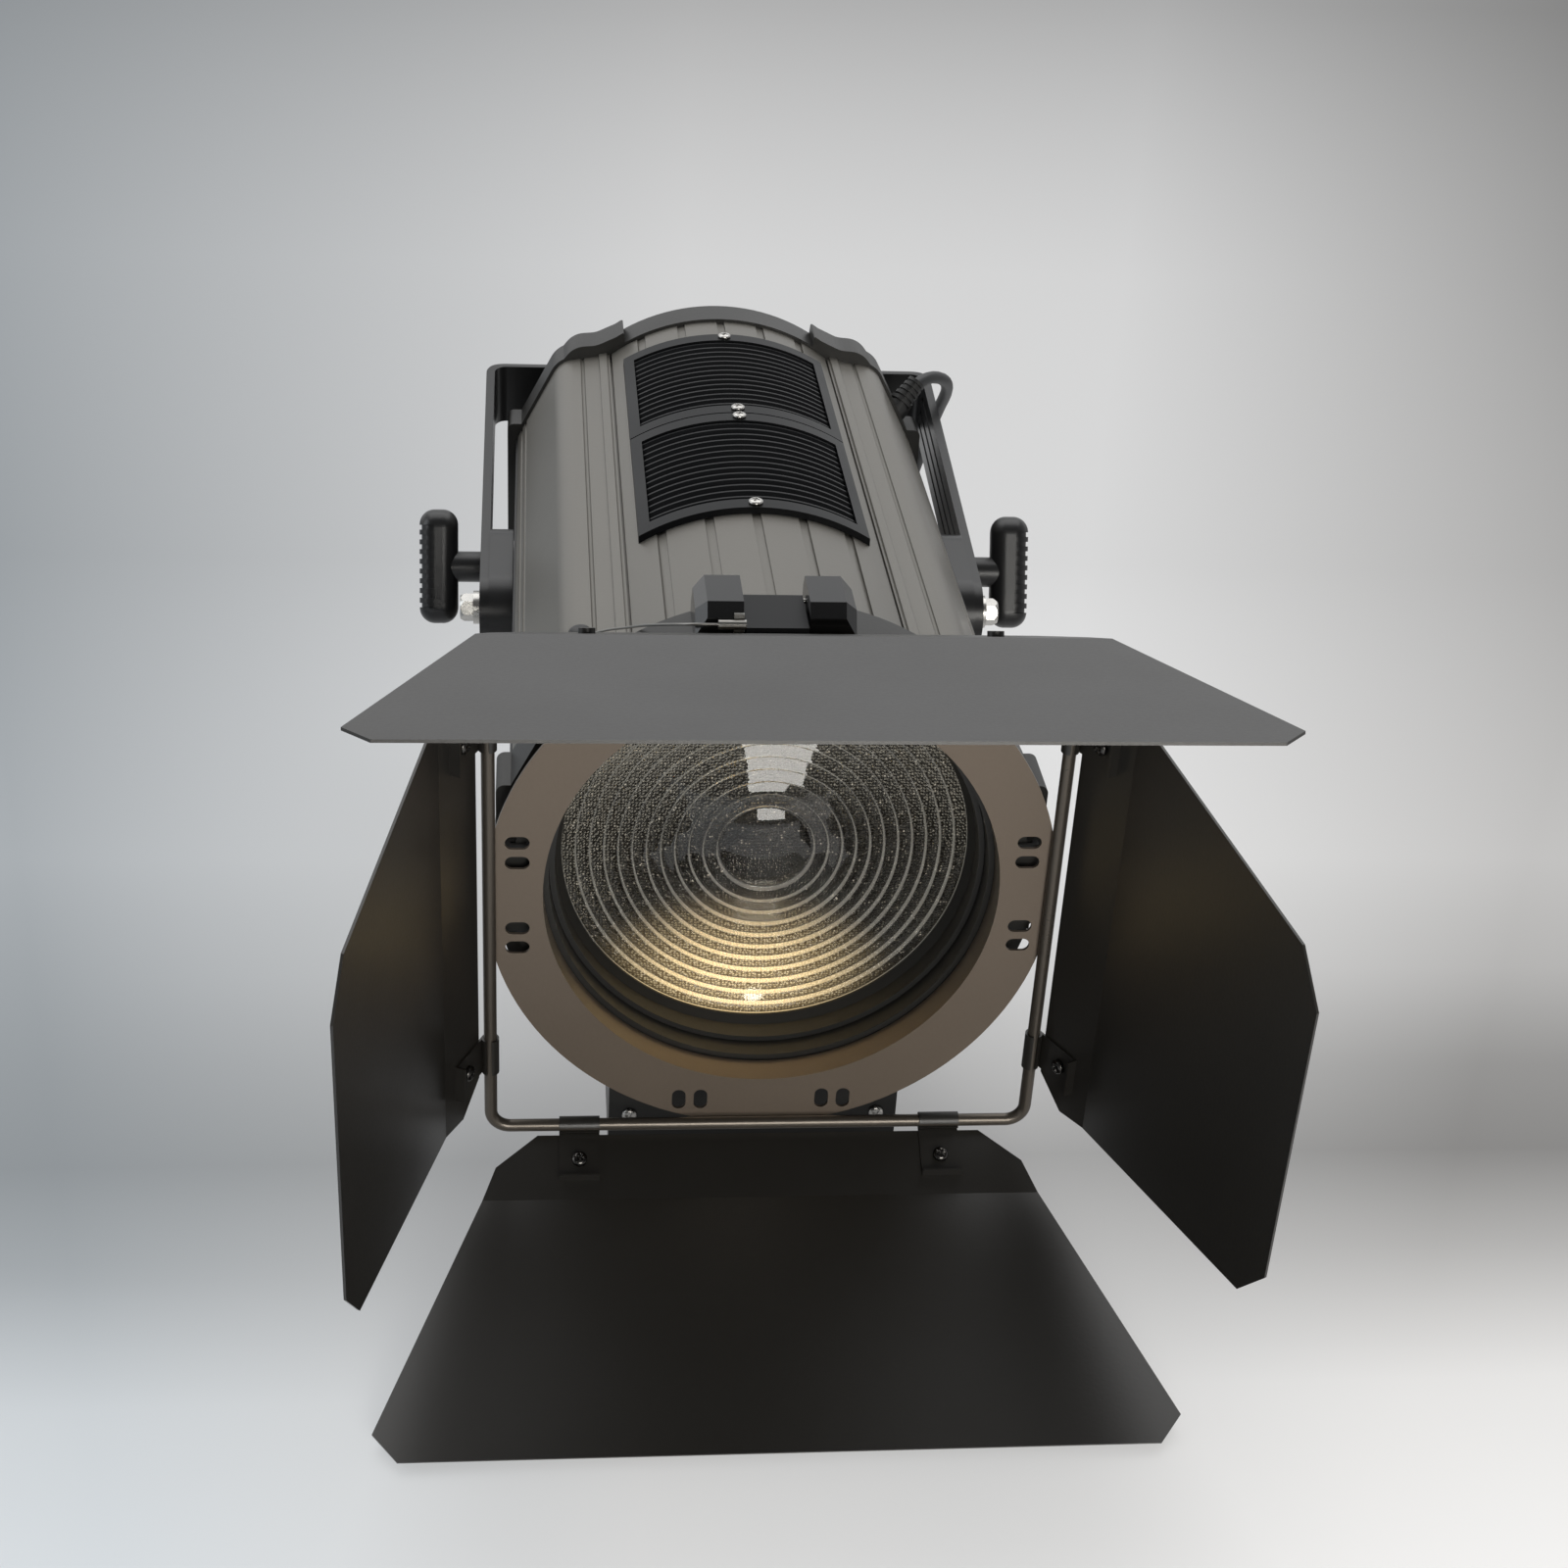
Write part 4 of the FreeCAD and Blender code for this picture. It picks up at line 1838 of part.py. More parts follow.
def all_nodes():
    """Every sub-part by its node's name, in the lens frame."""
    nodes = [
        ("top_cover", top_cover()),
        ("side_cover_left", side_cover(-1)),
        ("side_cover_right", side_cover(1)),
        ("edge_strips", edge_strips()),
        ("bottom_tray", bottom_tray()),
        ("vent_screws", vent_screws()),
        ("front_cap", front_cap()),
        ("rear_cap", rear_cap()),
        ("rear_panel", rear_panel()),
        ("display_board", display_board()),
        ("data_sockets", data_sockets()),
        ("fan_frame", fan_frame()),
        ("fan_rotor", fan_rotor()),
        ("lens", lens()),
        ("lens_bezel", lens_bezel()),
        ("holder_plate", holder_plate()),
        ("holder_brackets", holder_brackets()),
        ("catch_blocks", catch_blocks()),
        ("catch_pin", catch_pin()),
        ("catch_plate", catch_plate()),
        ("wire_anchor", wire_anchor()),
        ("safety_wire", safety_wire()),
        ("ring_plate", ring_plate()),
        ("wire_frame", wire_frame()),
        ("pivot_bosses", pivot_bosses()),
        ("yoke", yoke()),
        ("yoke_hubs", yoke_hubs()),
        ("yoke_bolts", yoke_bolts()),
        ("t_handle_left", t_handle(-1)),
        ("t_handle_right", t_handle(1)),
        ("driver_box", driver_box()),
        ("driver_box_screws", driver_box_screws()),
        ("base_pad", base_pad()),
        ("power_supply", power_supply()),
        ("guide_rods", guide_rods()),
        ("bulkhead", bulkhead()),
        ("zoom_motor", zoom_motor()),
        ("lead_screw", lead_screw()),
        ("carriage_plate", carriage_plate()),
        ("heat_sink", heat_sink()),
        ("led_board", led_board()),
        ("cable_gland", cable_gland()),
        ("power_cord", power_cord()),
        ("cord_coil", cord_coil()),
        ("cord_plug", cord_plug()),
    ]
    for place, (front, back) in zip(("front", "rear"), vents()):
        nodes.append(("vent_grille_" + place, vent_grille(front, back)))
    for i in range(BUTTON_COUNT):
        nodes.append(("button_" + str(i + 1), button(i)))
    return nodes + leaves()


def main():
    """Writes every sub-part, moved so that the frame's origin is on the pad, under the pivot."""
    os.makedirs("parts", exist_ok=True)
    for name, shape in all_nodes():
        moved(shape, 0, -PIVOT_Y, -BASE_Z).exportStep("parts/" + name + ".step")
    coil = sum(edge.Length for edge in coil_path()) + PLUG_NECK_LENGTH
    print("cord: free length %.0f mm, coil and tail %.0f mm" % (cord_path().Length, coil))
    beside, above = 2 * (COIL_HALF_STEP - CORD_RADIUS), COIL_RISE - 2 * CORD_RADIUS
    print("coil: gap beside %.2f mm, gap above %.2f mm" % (beside, above))


if __name__ == "__main__":
    main()
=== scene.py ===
# %% [markdown]
# # A studio spotlight in cells
# The object is a stage lamp: a long louvred housing, a stepped lens, a barn door of four black leaves
# and a bow to hang it by. The solids come from a CAD frame that is already in metres, so this lesson
# dresses them: it sets the camera, gives every piece a finish made of nodes, and adds the small things
# that are too fine for the solids, such as the lens's rings and the recesses of the screws.

# %% The frame and the units
import math

import bmesh
import bpy
import numpy as np
from mathutils import Matrix, Vector


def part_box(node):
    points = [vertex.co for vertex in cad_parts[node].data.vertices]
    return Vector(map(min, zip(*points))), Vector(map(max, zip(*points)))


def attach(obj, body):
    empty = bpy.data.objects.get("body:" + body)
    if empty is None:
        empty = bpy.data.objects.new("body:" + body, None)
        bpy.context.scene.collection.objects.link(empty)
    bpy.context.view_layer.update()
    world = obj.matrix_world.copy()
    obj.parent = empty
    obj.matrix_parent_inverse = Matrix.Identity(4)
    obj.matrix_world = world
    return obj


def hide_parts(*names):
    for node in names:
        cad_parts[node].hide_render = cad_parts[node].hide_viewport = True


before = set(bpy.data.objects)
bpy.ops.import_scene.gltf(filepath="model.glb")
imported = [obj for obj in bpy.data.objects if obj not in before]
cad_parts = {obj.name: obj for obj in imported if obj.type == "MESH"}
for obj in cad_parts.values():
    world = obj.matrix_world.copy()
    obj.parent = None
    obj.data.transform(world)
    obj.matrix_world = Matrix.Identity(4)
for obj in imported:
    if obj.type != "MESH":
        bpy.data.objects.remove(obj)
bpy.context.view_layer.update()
MM = 0.001

# %% [markdown]
# The photograph was taken from above the front, a little to the left, with a moderately long lens. Its
# place, turn and lens were worked out from straight edges of the lamp, so the camera is written as
# numbers: where it stands, three angles, and the focal length in pixels of the photograph.

# %% The camera
CAMERA_PLACE = Vector((-0.10735, -1.23945, 0.77469))
CAMERA_YAW, CAMERA_PITCH, CAMERA_ROLL = -0.118, -0.525, 0.061
FOCAL_PIXELS, PICTURE_PIXELS, SENSOR_WIDTH = 2484.37, 1600.0, 36.0


def camera_turn(yaw, pitch, roll):
    """Rotation matrix: yaw about up, then pitch, then roll about the view; columns are right, up, back."""
    ahead = Vector((-math.sin(yaw) * math.cos(pitch), math.cos(yaw) * math.cos(pitch), math.sin(pitch)))
    level = Vector((math.cos(yaw), math.sin(yaw), 0))
    upright = level.cross(ahead)
    right = level * math.cos(roll) + upright * math.sin(roll)
    up = upright * math.cos(roll) - level * math.sin(roll)
    return Matrix((right, up, -ahead)).transposed()


camera_data = bpy.data.cameras.new("camera")
camera_data.sensor_width = SENSOR_WIDTH
camera_data.lens = FOCAL_PIXELS / PICTURE_PIXELS * SENSOR_WIDTH
camera = bpy.data.objects.new("camera", camera_data)
bpy.context.collection.objects.link(camera)
camera_axes = camera_turn(CAMERA_YAW, CAMERA_PITCH, CAMERA_ROLL)
camera.matrix_world = Matrix.Translation(CAMERA_PLACE) @ camera_axes.to_4x4()
bpy.context.scene.camera = camera
print("camera: %.1f mm lens" % camera_data.lens)

# %% [markdown]
# The mains cord leaves the rear cap through a ribbed boot, humps over the yoke's right arm and drops
# behind the lamp, where its spare length lies in a coil. A smooth spline with few corner points bends
# as a real cord does, so the route is written as corner points. The coil is two layers of half turns:
# each is a step smaller than the last on the floor, and a step larger in the layer above.

# %% The cord
CORD_RADIUS = 3.75 * MM
PIVOT_Y, BASE_Z = 318.0, -179.0
GLAND_PLACE = np.array((110.0, 452.5, 58.0))
GLAND_WAY = np.array((0.62, 0.41, 0.67))
GLAND_WAY = GLAND_WAY / np.linalg.norm(GLAND_WAY)
CORD_START, CORD_CREST = 9.0, 26.0
DROP_CORNERS = ((148.5, 482.0, 64.5), (145.0, 522.0, 24.0), (126.0, 532.0, -60.0))
COIL_CENTRE, COIL_OUTER, COIL_HALF_STEP, COIL_RISE = (60.0, 598.0), 45.0, 4.1, 8.0
HALF_TURNS, POINTS_PER_HALF, CORNER_POWER = 4, 6, 0.66
CLIMB_SHARES = np.array((0.08, 0.5, 0.92))
FLOOR_RUN, TAIL_LENGTH = 63.0, 106.6
SPLINE_STEPS, CORD_SIDES = 6, 5


def row_place(points):
    """From the lens frame in millimetres to the row's frame in metres."""
    return (np.asarray(points, float) - (0, PIVOT_Y, BASE_Z)) * MM


def half_turn(centre, z, radius, from_angle):
    """Corners round half a turn, a little outside the circle so that the spline lies on it."""
    step = math.pi / POINTS_PER_HALF
    angle = math.radians(from_angle) + (np.arange(POINTS_PER_HALF) + 0.5) * step
    reach = radius / math.cos(step / 2) ** CORNER_POWER
    across, back = centre[0] + reach * np.cos(angle), centre[1] + reach * np.sin(angle)
    return np.stack([across, back, np.full(POINTS_PER_HALF, z)], 1)


def cord_route():
    """The route's corner points: gland, hump over the arm, drop, floor run, coil and tail."""
    low = BASE_Z + CORD_RADIUS / MM
    x, y = COIL_CENTRE
    start = np.array((x + COIL_OUTER, y, low))
    route = [GLAND_PLACE + GLAND_WAY * CORD_START, GLAND_PLACE + GLAND_WAY * CORD_CREST, *DROP_CORNERS]
    route += [start - (0, FLOOR_RUN, 0)]
    radius = COIL_OUTER
    for i in range(HALF_TURNS):
        route += list(half_turn((x - COIL_HALF_STEP * (i % 2), y), low, radius, 180 * (i % 2)))
        radius -= COIL_HALF_STEP
    climb = half_turn((x, y), low, radius, 0)[: POINTS_PER_HALF // 2]
    climb[:, 2] += COIL_RISE * CLIMB_SHARES
    route += list(climb)
    for i in range(HALF_TURNS):
        radius += COIL_HALF_STEP
        centre = (x, y - COIL_HALF_STEP * ((i + 1) % 2))
        route += list(half_turn(centre, low + COIL_RISE, radius, 90 + 180 * (i % 2)))
    end = np.array((x, y + COIL_OUTER, low + COIL_RISE))
    return row_place(route + [end - (TAIL_LENGTH, 0, 0)])


def spline_curve(name, points, radius):
    """A smooth open curve of order three with the points as its corners, swept by a circle.

    The circle's size stands in the points' own radius, because a curve's box is grown by that radius.
    """
    data = bpy.data.curves.new(name, "CURVE")
    data.dimensions = "3D"
    spline = data.splines.new("NURBS")
    spline.points.add(len(points) - 1)
    spline.points.foreach_set("co", np.column_stack([points, np.ones(len(points))]).ravel())
    spline.points.foreach_set("radius", np.full(len(points), radius))
    spline.order_u = 3
    spline.use_endpoint_u = True
    spline.resolution_u = SPLINE_STEPS
    data.bevel_depth = 1.0
    data.bevel_resolution = CORD_SIDES
    data.use_fill_caps = True
    curve = bpy.data.objects.new(name, data)
    bpy.context.collection.objects.link(curve)
    return curve


cord = spline_curve("mains_cord", cord_route(), CORD_RADIUS)
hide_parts("power_cord", "cord_coil")
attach(cord, "housing")
print("cord: %d corner points" % len(cord.data.splines[0].points))

# %% [markdown]
# Node sums are easier to read as Python. This small class wraps one output socket of a shader tree;
# plus, minus, times and divide each add a Math node, also with a plain number on the left.

# %% Shader maths
class Value:
    """One number socket; arithmetic on it adds Math nodes to its tree."""

    def __init__(self, shade, socket):
        self.shade, self.socket = shade, socket

    def sum_with(self, operation, first, second):
        return self.shade.node("ShaderNodeMath", {"operation": operation}, {0: first, 1: second})

    def __add__(self, other):
        return self.sum_with("ADD", self, other)

    def __radd__(self, other):
        return self.sum_with("ADD", other, self)

    def __sub__(self, other):
        return self.sum_with("SUBTRACT", self, other)

    def __rsub__(self, other):
        return self.sum_with("SUBTRACT", other, self)

    def __mul__(self, other):
        return self.sum_with("MULTIPLY", self, other)

    def __rmul__(self, other):
        return self.sum_with("MULTIPLY", other, self)

    def __truediv__(self, other):
        return self.sum_with("DIVIDE", self, other)

    def __pow__(self, other):
        return self.sum_with("POWER", self, other)


class Shade:
    """A material's tree: node() adds any node, the rest are short ways to common ones."""

    def __init__(self, name):
        self.material = bpy.data.materials.new(name)
        self.material.use_nodes = True
        self.tree = self.material.node_tree
        self.shader = self.tree.nodes["Principled BSDF"]

    def node(self, kind, settings=None, inputs=None, output=0):
        """Adds a node, sets its settings, then its sockets by name or number; gives one output."""
        made = self.tree.nodes.new(kind)
        for key, value in (settings or {}).items():
            if key == "stops":
                ramp = made.color_ramp
                for i, (place, colour) in enumerate(value):
                    stop = ramp.elements[i] if i < 2 else ramp.elements.new(place)
                    stop.position, stop.color = place, (*colour, 1)
            else:
                setattr(made, key, value)
        for key, value in (inputs or {}).items():
            self.feed(made.inputs[key], value)
        return Value(self, made.outputs[output])

    def feed(self, socket, value):
        """Links a Value to a socket, or sets the socket's own number or colour."""
        if isinstance(value, Value):
            self.tree.links.new(value.socket, socket)
        else:
            socket.default_value = value

    def set(self, **sockets):
        """Feeds the closing shader: Base_Color stands for the socket Base Color."""
        for key, value in sockets.items():
            self.feed(self.shader.inputs[key.replace("_", " ")], value)

    def place(self):
        """Object coordinates, which are the row frame's metres."""
        return self.node("ShaderNodeTexCoord", output=3)

    def axis(self, i):
        """One coordinate of the place, in metres."""
        return self.node("ShaderNodeSeparateXYZ", None, {0: self.place()}, i)

    def noise(self, scale, detail=2.0, roughness=0.5, stretch=None):
        """Smooth noise from 0 to 1; scale is in waves per metre, stretch scales the axes first."""
        vector = self.place()
        if stretch:
            vector = self.node("ShaderNodeMapping", None, {"Vector": vector, "Scale": stretch})
        inputs = {"Vector": vector, "Scale": scale, "Detail": detail, "Roughness": roughness}
        return self.node("ShaderNodeTexNoise", None, inputs)

    def between(self, value, low, high):
        """Maps the value's range low..high to 0..1, held at both ends."""
        return self.node("ShaderNodeMapRange", None, {"Value": value, "From Min": low, "From Max": high})

    def mix(self, share, first, second):
        """Mixes two colours by a share from 0 to 1."""
        sockets = {0: share, 6: first, 7: second}
        return self.node("ShaderNodeMix", {"data_type": "RGBA"}, sockets, 2)

    def bump(self, height, depth, strength=1.0, normal=None):
        """A bump whose height goes from 0 to 1 over a depth in metres."""
        sockets = {"Height": height, "Distance": depth, "Strength": strength}
        if normal:
            sockets["Normal"] = normal
        return self.node("ShaderNodeBump", None, sockets)


def rgb(*levels):
    """A colour written as the photograph shows it, 0..255, in linear light."""
    share = np.array(levels) / 255
    linear = np.where(share < 0.04045, share / 12.92, ((share + 0.055) / 1.055) ** 2.4)
    return (*map(float, linear), 1.0)


# %% [markdown]
# Powder paint is baked plastic, here with metal flakes in the housing's and the ring's. It has a faint
# orange-peel surface a millimetre or two across, fine grit below it, and a sheen that turns grey where
# light grazes it. Two noises make the bump and a slow one varies the gloss, as handling does.

# %% Painted metal
DRIFT_SCALE, MOTTLE_SCALE, PEEL_SCALE, GRIT_SCALE = 9, 700, 520, 2600
PEEL_DEPTH, GRIT_DEPTH = 0.03 * MM, 0.02 * MM


def powder_paint(name, colour, rough, grit=0.25, peel=1.0, metal=0.0, level=0.5, worn=0.04):
    """Colour with slow mottling, roughness with drift, and a two-scale bump."""
    shade = Shade(name)
    drift = shade.noise(DRIFT_SCALE, 3)
    mottle = shade.noise(MOTTLE_SCALE, 2)
    dark = tuple(c * (1 - worn * 3) for c in colour[:3]) + (1.0,)
    light = tuple(min(1, c * (1 + worn * 3)) for c in colour[:3]) + (1.0,)
    share = drift * 0.7 + mottle * 0.3
    shade.set(Base_Color=shade.mix(share, dark, light), Metallic=metal)
    shade.set(Roughness=drift * (4 * worn) + mottle * 0.06 + (rough - 2 * worn - 0.03))
    fine = shade.bump(shade.noise(GRIT_SCALE, 2), GRIT_DEPTH, grit)
    shade.set(Normal=shade.bump(shade.noise(PEEL_SCALE, 1), PEEL_DEPTH, peel, fine))
    shade.set(Specular_IOR_Level=level)
    return shade.material


housing_paint = powder_paint("housing_bronze_grey_paint", rgb(112, 109, 103), 0.4, metal=0.45)
cap_paint = powder_paint("cap_charcoal_paint", rgb(38, 37, 35), 0.42, metal=0.3)
ring_paint = powder_paint("ring_bronze_black_paint", rgb(110, 99, 88), 0.33, metal=0.65)
leaf_paint = powder_paint("leaf_satin_black_paint", rgb(32, 30, 27), 0.38, metal=0.15, level=0.62, worn=0.03)
rod_paint = powder_paint("rod_bronze_paint", rgb(88, 82, 75), 0.3, 0.1, 0.4, metal=0.7)
yoke_paint = powder_paint("yoke_black_paint", rgb(22, 22, 23), 0.33)
inner_paint = powder_paint("inner_matt_black_paint", rgb(22, 21, 19), 0.46)
print("paints:", len(bpy.data.materials))

# %% [markdown]
# Moulded plastic is duller and its texture is finer; rubber and woven tape have a coarser grain, from the
# same helper with other sizes. Bare metal is bright, with brush marks, which a stretch makes into lines.

# %% Plastics, rubber and bare metal
def moulded(name, colour, rough, grain=1800, depth=0.02, level=0.5):
    """Even colour, a grain in the bump whose depth is in millimetres, and a slow drift in gloss."""
    shade = Shade(name)
    drift = shade.noise(14, 2)
    speck = shade.noise(grain, 3, 0.6)
    shade.set(Base_Color=shade.mix(drift, tuple(c * 0.8 for c in colour[:3]) + (1.0,), colour))
    shade.set(Roughness=drift * 0.14 + (rough - 0.07), Specular_IOR_Level=level)
    shade.set(Normal=shade.bump(speck, depth * MM, 0.6))
    return shade.material


def bare_metal(name, colour, rough, stretch=(1, 1, 1), scale=900):
    """Metal with stretched noise as brush marks and a little tarnish."""
    shade = Shade(name)
    marks = shade.noise(scale, 3, 0.6, stretch)
    tarnish = shade.noise(60, 3)
    dull = tuple(c * 0.62 for c in colour[:3]) + (1.0,)
    shade.set(Base_Color=shade.mix(tarnish * 0.8, colour, dull), Metallic=1.0)
    shade.set(Roughness=marks * 0.2 + (rough - 0.1), Normal=shade.bump(marks, 0.01 * MM, 0.5))
    return shade.material


vent_plastic = moulded("vent_satin_black_plastic", rgb(15, 16, 18), 0.36, level=0.13)
strip_plastic = moulded("strip_matt_black_plastic", rgb(30, 30, 30), 0.48)
knob_plastic = moulded("handle_black_plastic", rgb(27, 27, 28), 0.33, 1200, 0.04)
gloss_block = moulded("catch_gloss_black", rgb(18, 18, 19), 0.16, 900, 0.006)
pad_rubber = moulded("pad_rubber", rgb(30, 30, 30), 0.75, 900, 0.08)
cord_rubber = moulded("cord_grey_black_jacket", rgb(52, 53, 55), 0.46, 700, 0.03)
button_plastic = moulded("button_grey_plastic", rgb(70, 71, 73), 0.4)
zinc_steel = bare_metal("zinc_plated_steel", rgb(200, 198, 194), 0.28)
wire_steel = bare_metal("safety_wire_steel", rgb(150, 148, 144), 0.34, (1, 1, 1), 2500)
screw_black = bare_metal("black_oxide_screw", rgb(84, 82, 80), 0.24)
strap_weave = moulded("tie_black_weave", rgb(34, 34, 35), 0.8, 2400, 0.12)
ground_steel = bare_metal("ground_steel_rod", rgb(190, 189, 187), 0.22, (1, 30, 1))
mill_aluminium = bare_metal("mill_aluminium", rgb(196, 196, 195), 0.35, (1, 12, 1))
black_anodised = moulded("black_anodised_aluminium", rgb(24, 24, 25), 0.45, 2200, 0.01)


# %% [markdown]
# A CAD node keeps its shape and gets its finish through the object's material slots.

# %% Finishes on the CAD nodes
def finish_nodes(material, *names):
    """Puts one material on each named node, in place of what it came with."""
    for name in names:
        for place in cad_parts[name].material_slots:
            place.material = material


finish_nodes(housing_paint, "top_cover", "side_cover_left", "side_cover_right", "bottom_tray")
finish_nodes(cap_paint, "front_cap", "rear_cap", "driver_box", "rear_panel")
finish_nodes(strip_plastic, "edge_strips", "fan_frame", "fan_rotor", "data_sockets")
finish_nodes(strip_plastic, "wire_anchor", "cable_gland")
finish_nodes(vent_plastic, "vent_grille_front", "vent_grille_rear", "catch_plate")
finish_nodes(gloss_block, "catch_blocks")
finish_nodes(zinc_steel, "vent_screws", "yoke_bolts", "catch_pin", "driver_box_screws")
finish_nodes(inner_paint, "lens_bezel", "holder_plate", "holder_brackets")
finish_nodes(ring_paint, "ring_plate")
finish_nodes(rod_paint, "wire_frame")
for side in ("top", "bottom", "left", "right"):
    finish_nodes(leaf_paint, "leaf_" + side, "leaf_" + side + "_clips")
finish_nodes(wire_steel, "safety_wire")
finish_nodes(yoke_paint, "yoke")
finish_nodes(knob_plastic, "yoke_hubs", "pivot_bosses", "t_handle_left", "t_handle_right", "cord_plug")
finish_nodes(pad_rubber, "base_pad")
finish_nodes(mill_aluminium, "power_supply")
finish_nodes(black_anodised, "bulkhead", "carriage_plate", "heat_sink", "zoom_motor")
finish_nodes(ground_steel, "guide_rods", "lead_screw")
finish_nodes(button_plastic, "button_1", "button_2", "button_3", "button_4", "display_board")
cord.data.materials.append(cord_rubber)
print("finishes:", len(bpy.data.materials))


# %% [markdown]
# The pieces that the solids leave out are surfaces computed as arrays. One helper joins a grid of points
# into faces. Another closes a stack of rings with a point at both ends, which is all that the lens and
# the screw heads need, and a third sets the finished mesh on its body.

# %% Meshes from arrays of points
def smooth_faces(mesh):
    """Shades every face smooth."""
    mesh.polygons.foreach_set("use_smooth", np.full(len(mesh.polygons), True))
    mesh.update()
    return mesh


def grid_mesh(name, points, wrap=False):
    """A mesh from an array of points (rows u, columns v, 3); wrap joins the last to the first both ways."""
    rows, columns = points.shape[:2]
    u, v = np.meshgrid(np.arange(rows - 1 + wrap), np.arange(columns - 1 + wrap), indexing="ij")
    here, ahead = u * columns, (u + 1) % rows * columns
    side = (v + 1) % columns
    faces = np.stack([here + v, ahead + v, ahead + side, here + side], -1)
    mesh = bpy.data.meshes.new(name)
    mesh.from_pydata(points.reshape(-1, 3), [], faces.reshape(-1, 4))
    return smooth_faces(mesh)


def outward(mesh):
    """Turns a closed mesh's faces outwards and shades it smooth."""
    shell = bmesh.new()
    shell.from_mesh(mesh)
    bmesh.ops.recalc_face_normals(shell, faces=shell.faces)
    shell.to_mesh(mesh)
    shell.free()
    return smooth_faces(mesh)


def closed_shells(name, shells):
    """A mesh of shells: each is rings (n, m, 3) closed at both ends by a point, the mean of its end ring."""
    points, faces, start = [], [], 0
    for rings in shells:
        rows, columns = rings.shape[:2]
        u, v = np.meshgrid(np.arange(rows - 1), np.arange(columns), indexing="ij")
        here, ahead, side = u * columns, (u + 1) * columns, (v + 1) % columns
        quads = np.stack([here + v, here + side, ahead + side, ahead + v], -1).reshape(-1, 4)
        j = np.arange(columns)
        after, last = (j + 1) % columns, (rows - 1) * columns
        pole = rows * columns
        front = np.stack([np.full(columns, pole), after, j], -1)
        behind = np.stack([np.full(columns, pole + 1), last + j, last + after], -1)
        for group in (quads, front, behind):
            faces += (group + start).tolist()
        points.append(np.concatenate([rings.reshape(-1, 3), rings[:1].mean(1), rings[-1:].mean(1)]))
        start += rows * columns + 2
    mesh = bpy.data.meshes.new(name)
    mesh.from_pydata(np.concatenate(points), [], faces)
    return outward(mesh)


def piece(name, mesh, body, slot, material, *stands_for):
    """An object for a mesh that rides on a body and may stand for CAD nodes."""
    made = bpy.data.objects.new(name, mesh)
    bpy.context.collection.objects.link(made)
    mesh.materials.append(material)
    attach(made, body)
    if stands_for:
        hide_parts(*stands_for)
    return made


# %% [markdown]
# The lens is a disc whose front is cut into rings: each ring is a slice of a steep dome, set down to
# the disc, with a short wall to the next. Its back is pressed with a stipple that blurs the light
# source. A profile turned about the axis makes it: radius and depth are two arrays, and one outer
# product with the angle gives all the points.

# %% The lens's shape
LENS_Y, LENS_BACK = 39.4, 45.0
LENS_RADIUS, LENS_CENTRE_RADIUS, LENS_FLANGE = 97.0, 22.6, 2.0
LENS_STEPS, LENS_CURVE, STEEPEST = 12, 120.0, 0.42
RING_SHARES = np.array((0, 0.02, 0.05, 0.1, 0.3, 0.6, 0.85, 0.95, 0.985, 1.0))
MIDDLE_POINTS, TURN_POINTS = 16, 160
CENTRE_CURVE, CENTRE_PROUD, CREST_ROUND, CREST_FALL = 54.0, 2.6, 0.25, 40
RING_WALL, EDGE_SETBACK, EDGE_BEVEL = 0.25, 0.4, 1.0


def turned_rings(radii, depths, count=TURN_POINTS):
    """A profile (radius, y) turned about the lens axis: an outer product with the angle's sine and cosine."""
    angle = np.arange(count) * 2 * math.pi / count
    x, z = np.outer(radii, np.sin(angle)), np.outer(radii, np.cos(angle))
    return row_place(np.stack([x, np.repeat(np.asarray(depths)[:, None], count, 1), z], -1))


def ring_slope(radius):
    """Slope of a ring's face: that of a ball's cap at this radius, held at the steepest that fits."""
    return min(radius / math.sqrt(LENS_CURVE**2 - radius**2), STEEPEST)


def lens_profile():
    """Radii and depths: a domed middle, then rings that each fall away evenly from a rounded crest."""
    middle = np.linspace(0, LENS_CENTRE_RADIUS, MIDDLE_POINTS)
    radii = list(middle)
    depths = list(LENS_Y - CENTRE_PROUD + CENTRE_CURVE - np.sqrt(CENTRE_CURVE**2 - middle**2))
    edges = np.linspace(LENS_CENTRE_RADIUS, LENS_RADIUS - LENS_FLANGE, LENS_STEPS)
    crest = CREST_ROUND * np.exp(-RING_SHARES * CREST_FALL)
    for inner, outer in zip(edges, edges[1:]):
        reach = inner + RING_WALL + (outer - inner - RING_WALL) * RING_SHARES
        radii += list(reach)
        depths += list(LENS_Y + (reach - inner) * ring_slope(outer) + crest)
    radii += [LENS_RADIUS, LENS_RADIUS, LENS_RADIUS - EDGE_BEVEL, 0.0]
    depths += [LENS_Y + EDGE_SETBACK, LENS_BACK - EDGE_BEVEL, LENS_BACK, LENS_BACK]
    return np.array(radii), np.array(depths)


# %% [markdown]
# The glass is clear with a beaded back. Its glow is painted light, emission on the glass: the beads glow
# warm low down, standing for the light source's yellow, and show faint painted glints elsewhere. Each
# ring's painted glow is brighter towards its middle, painted ring shading, and a thin painted highlight
# line lies at its crest. The painted glow's place and half widths are metres from the lens's axis.

# %% The lens's glass and its painted glow
BEAD_SCALE, BEAD_SPREAD, BEAD_DEPTH = 640.0, 0.55, 0.4 * MM
# Scale and thresholds of the painted glints, then the painted glow's place, half widths and strength, and its
# darkest colour.
PAINTED_GLINT_SCALE, PAINTED_GLINT_LOW, PAINTED_GLINT_HIGH = 330, 0.54, 0.74
PAINTED_GLOW_PLACE, PAINTED_GLOW_HALF, PAINTED_GLOW_STRENGTH = (-0.01, -0.077), (0.082, 0.058), 1.35
PAINTED_GLOW_DARK = rgb(6, 5, 4)


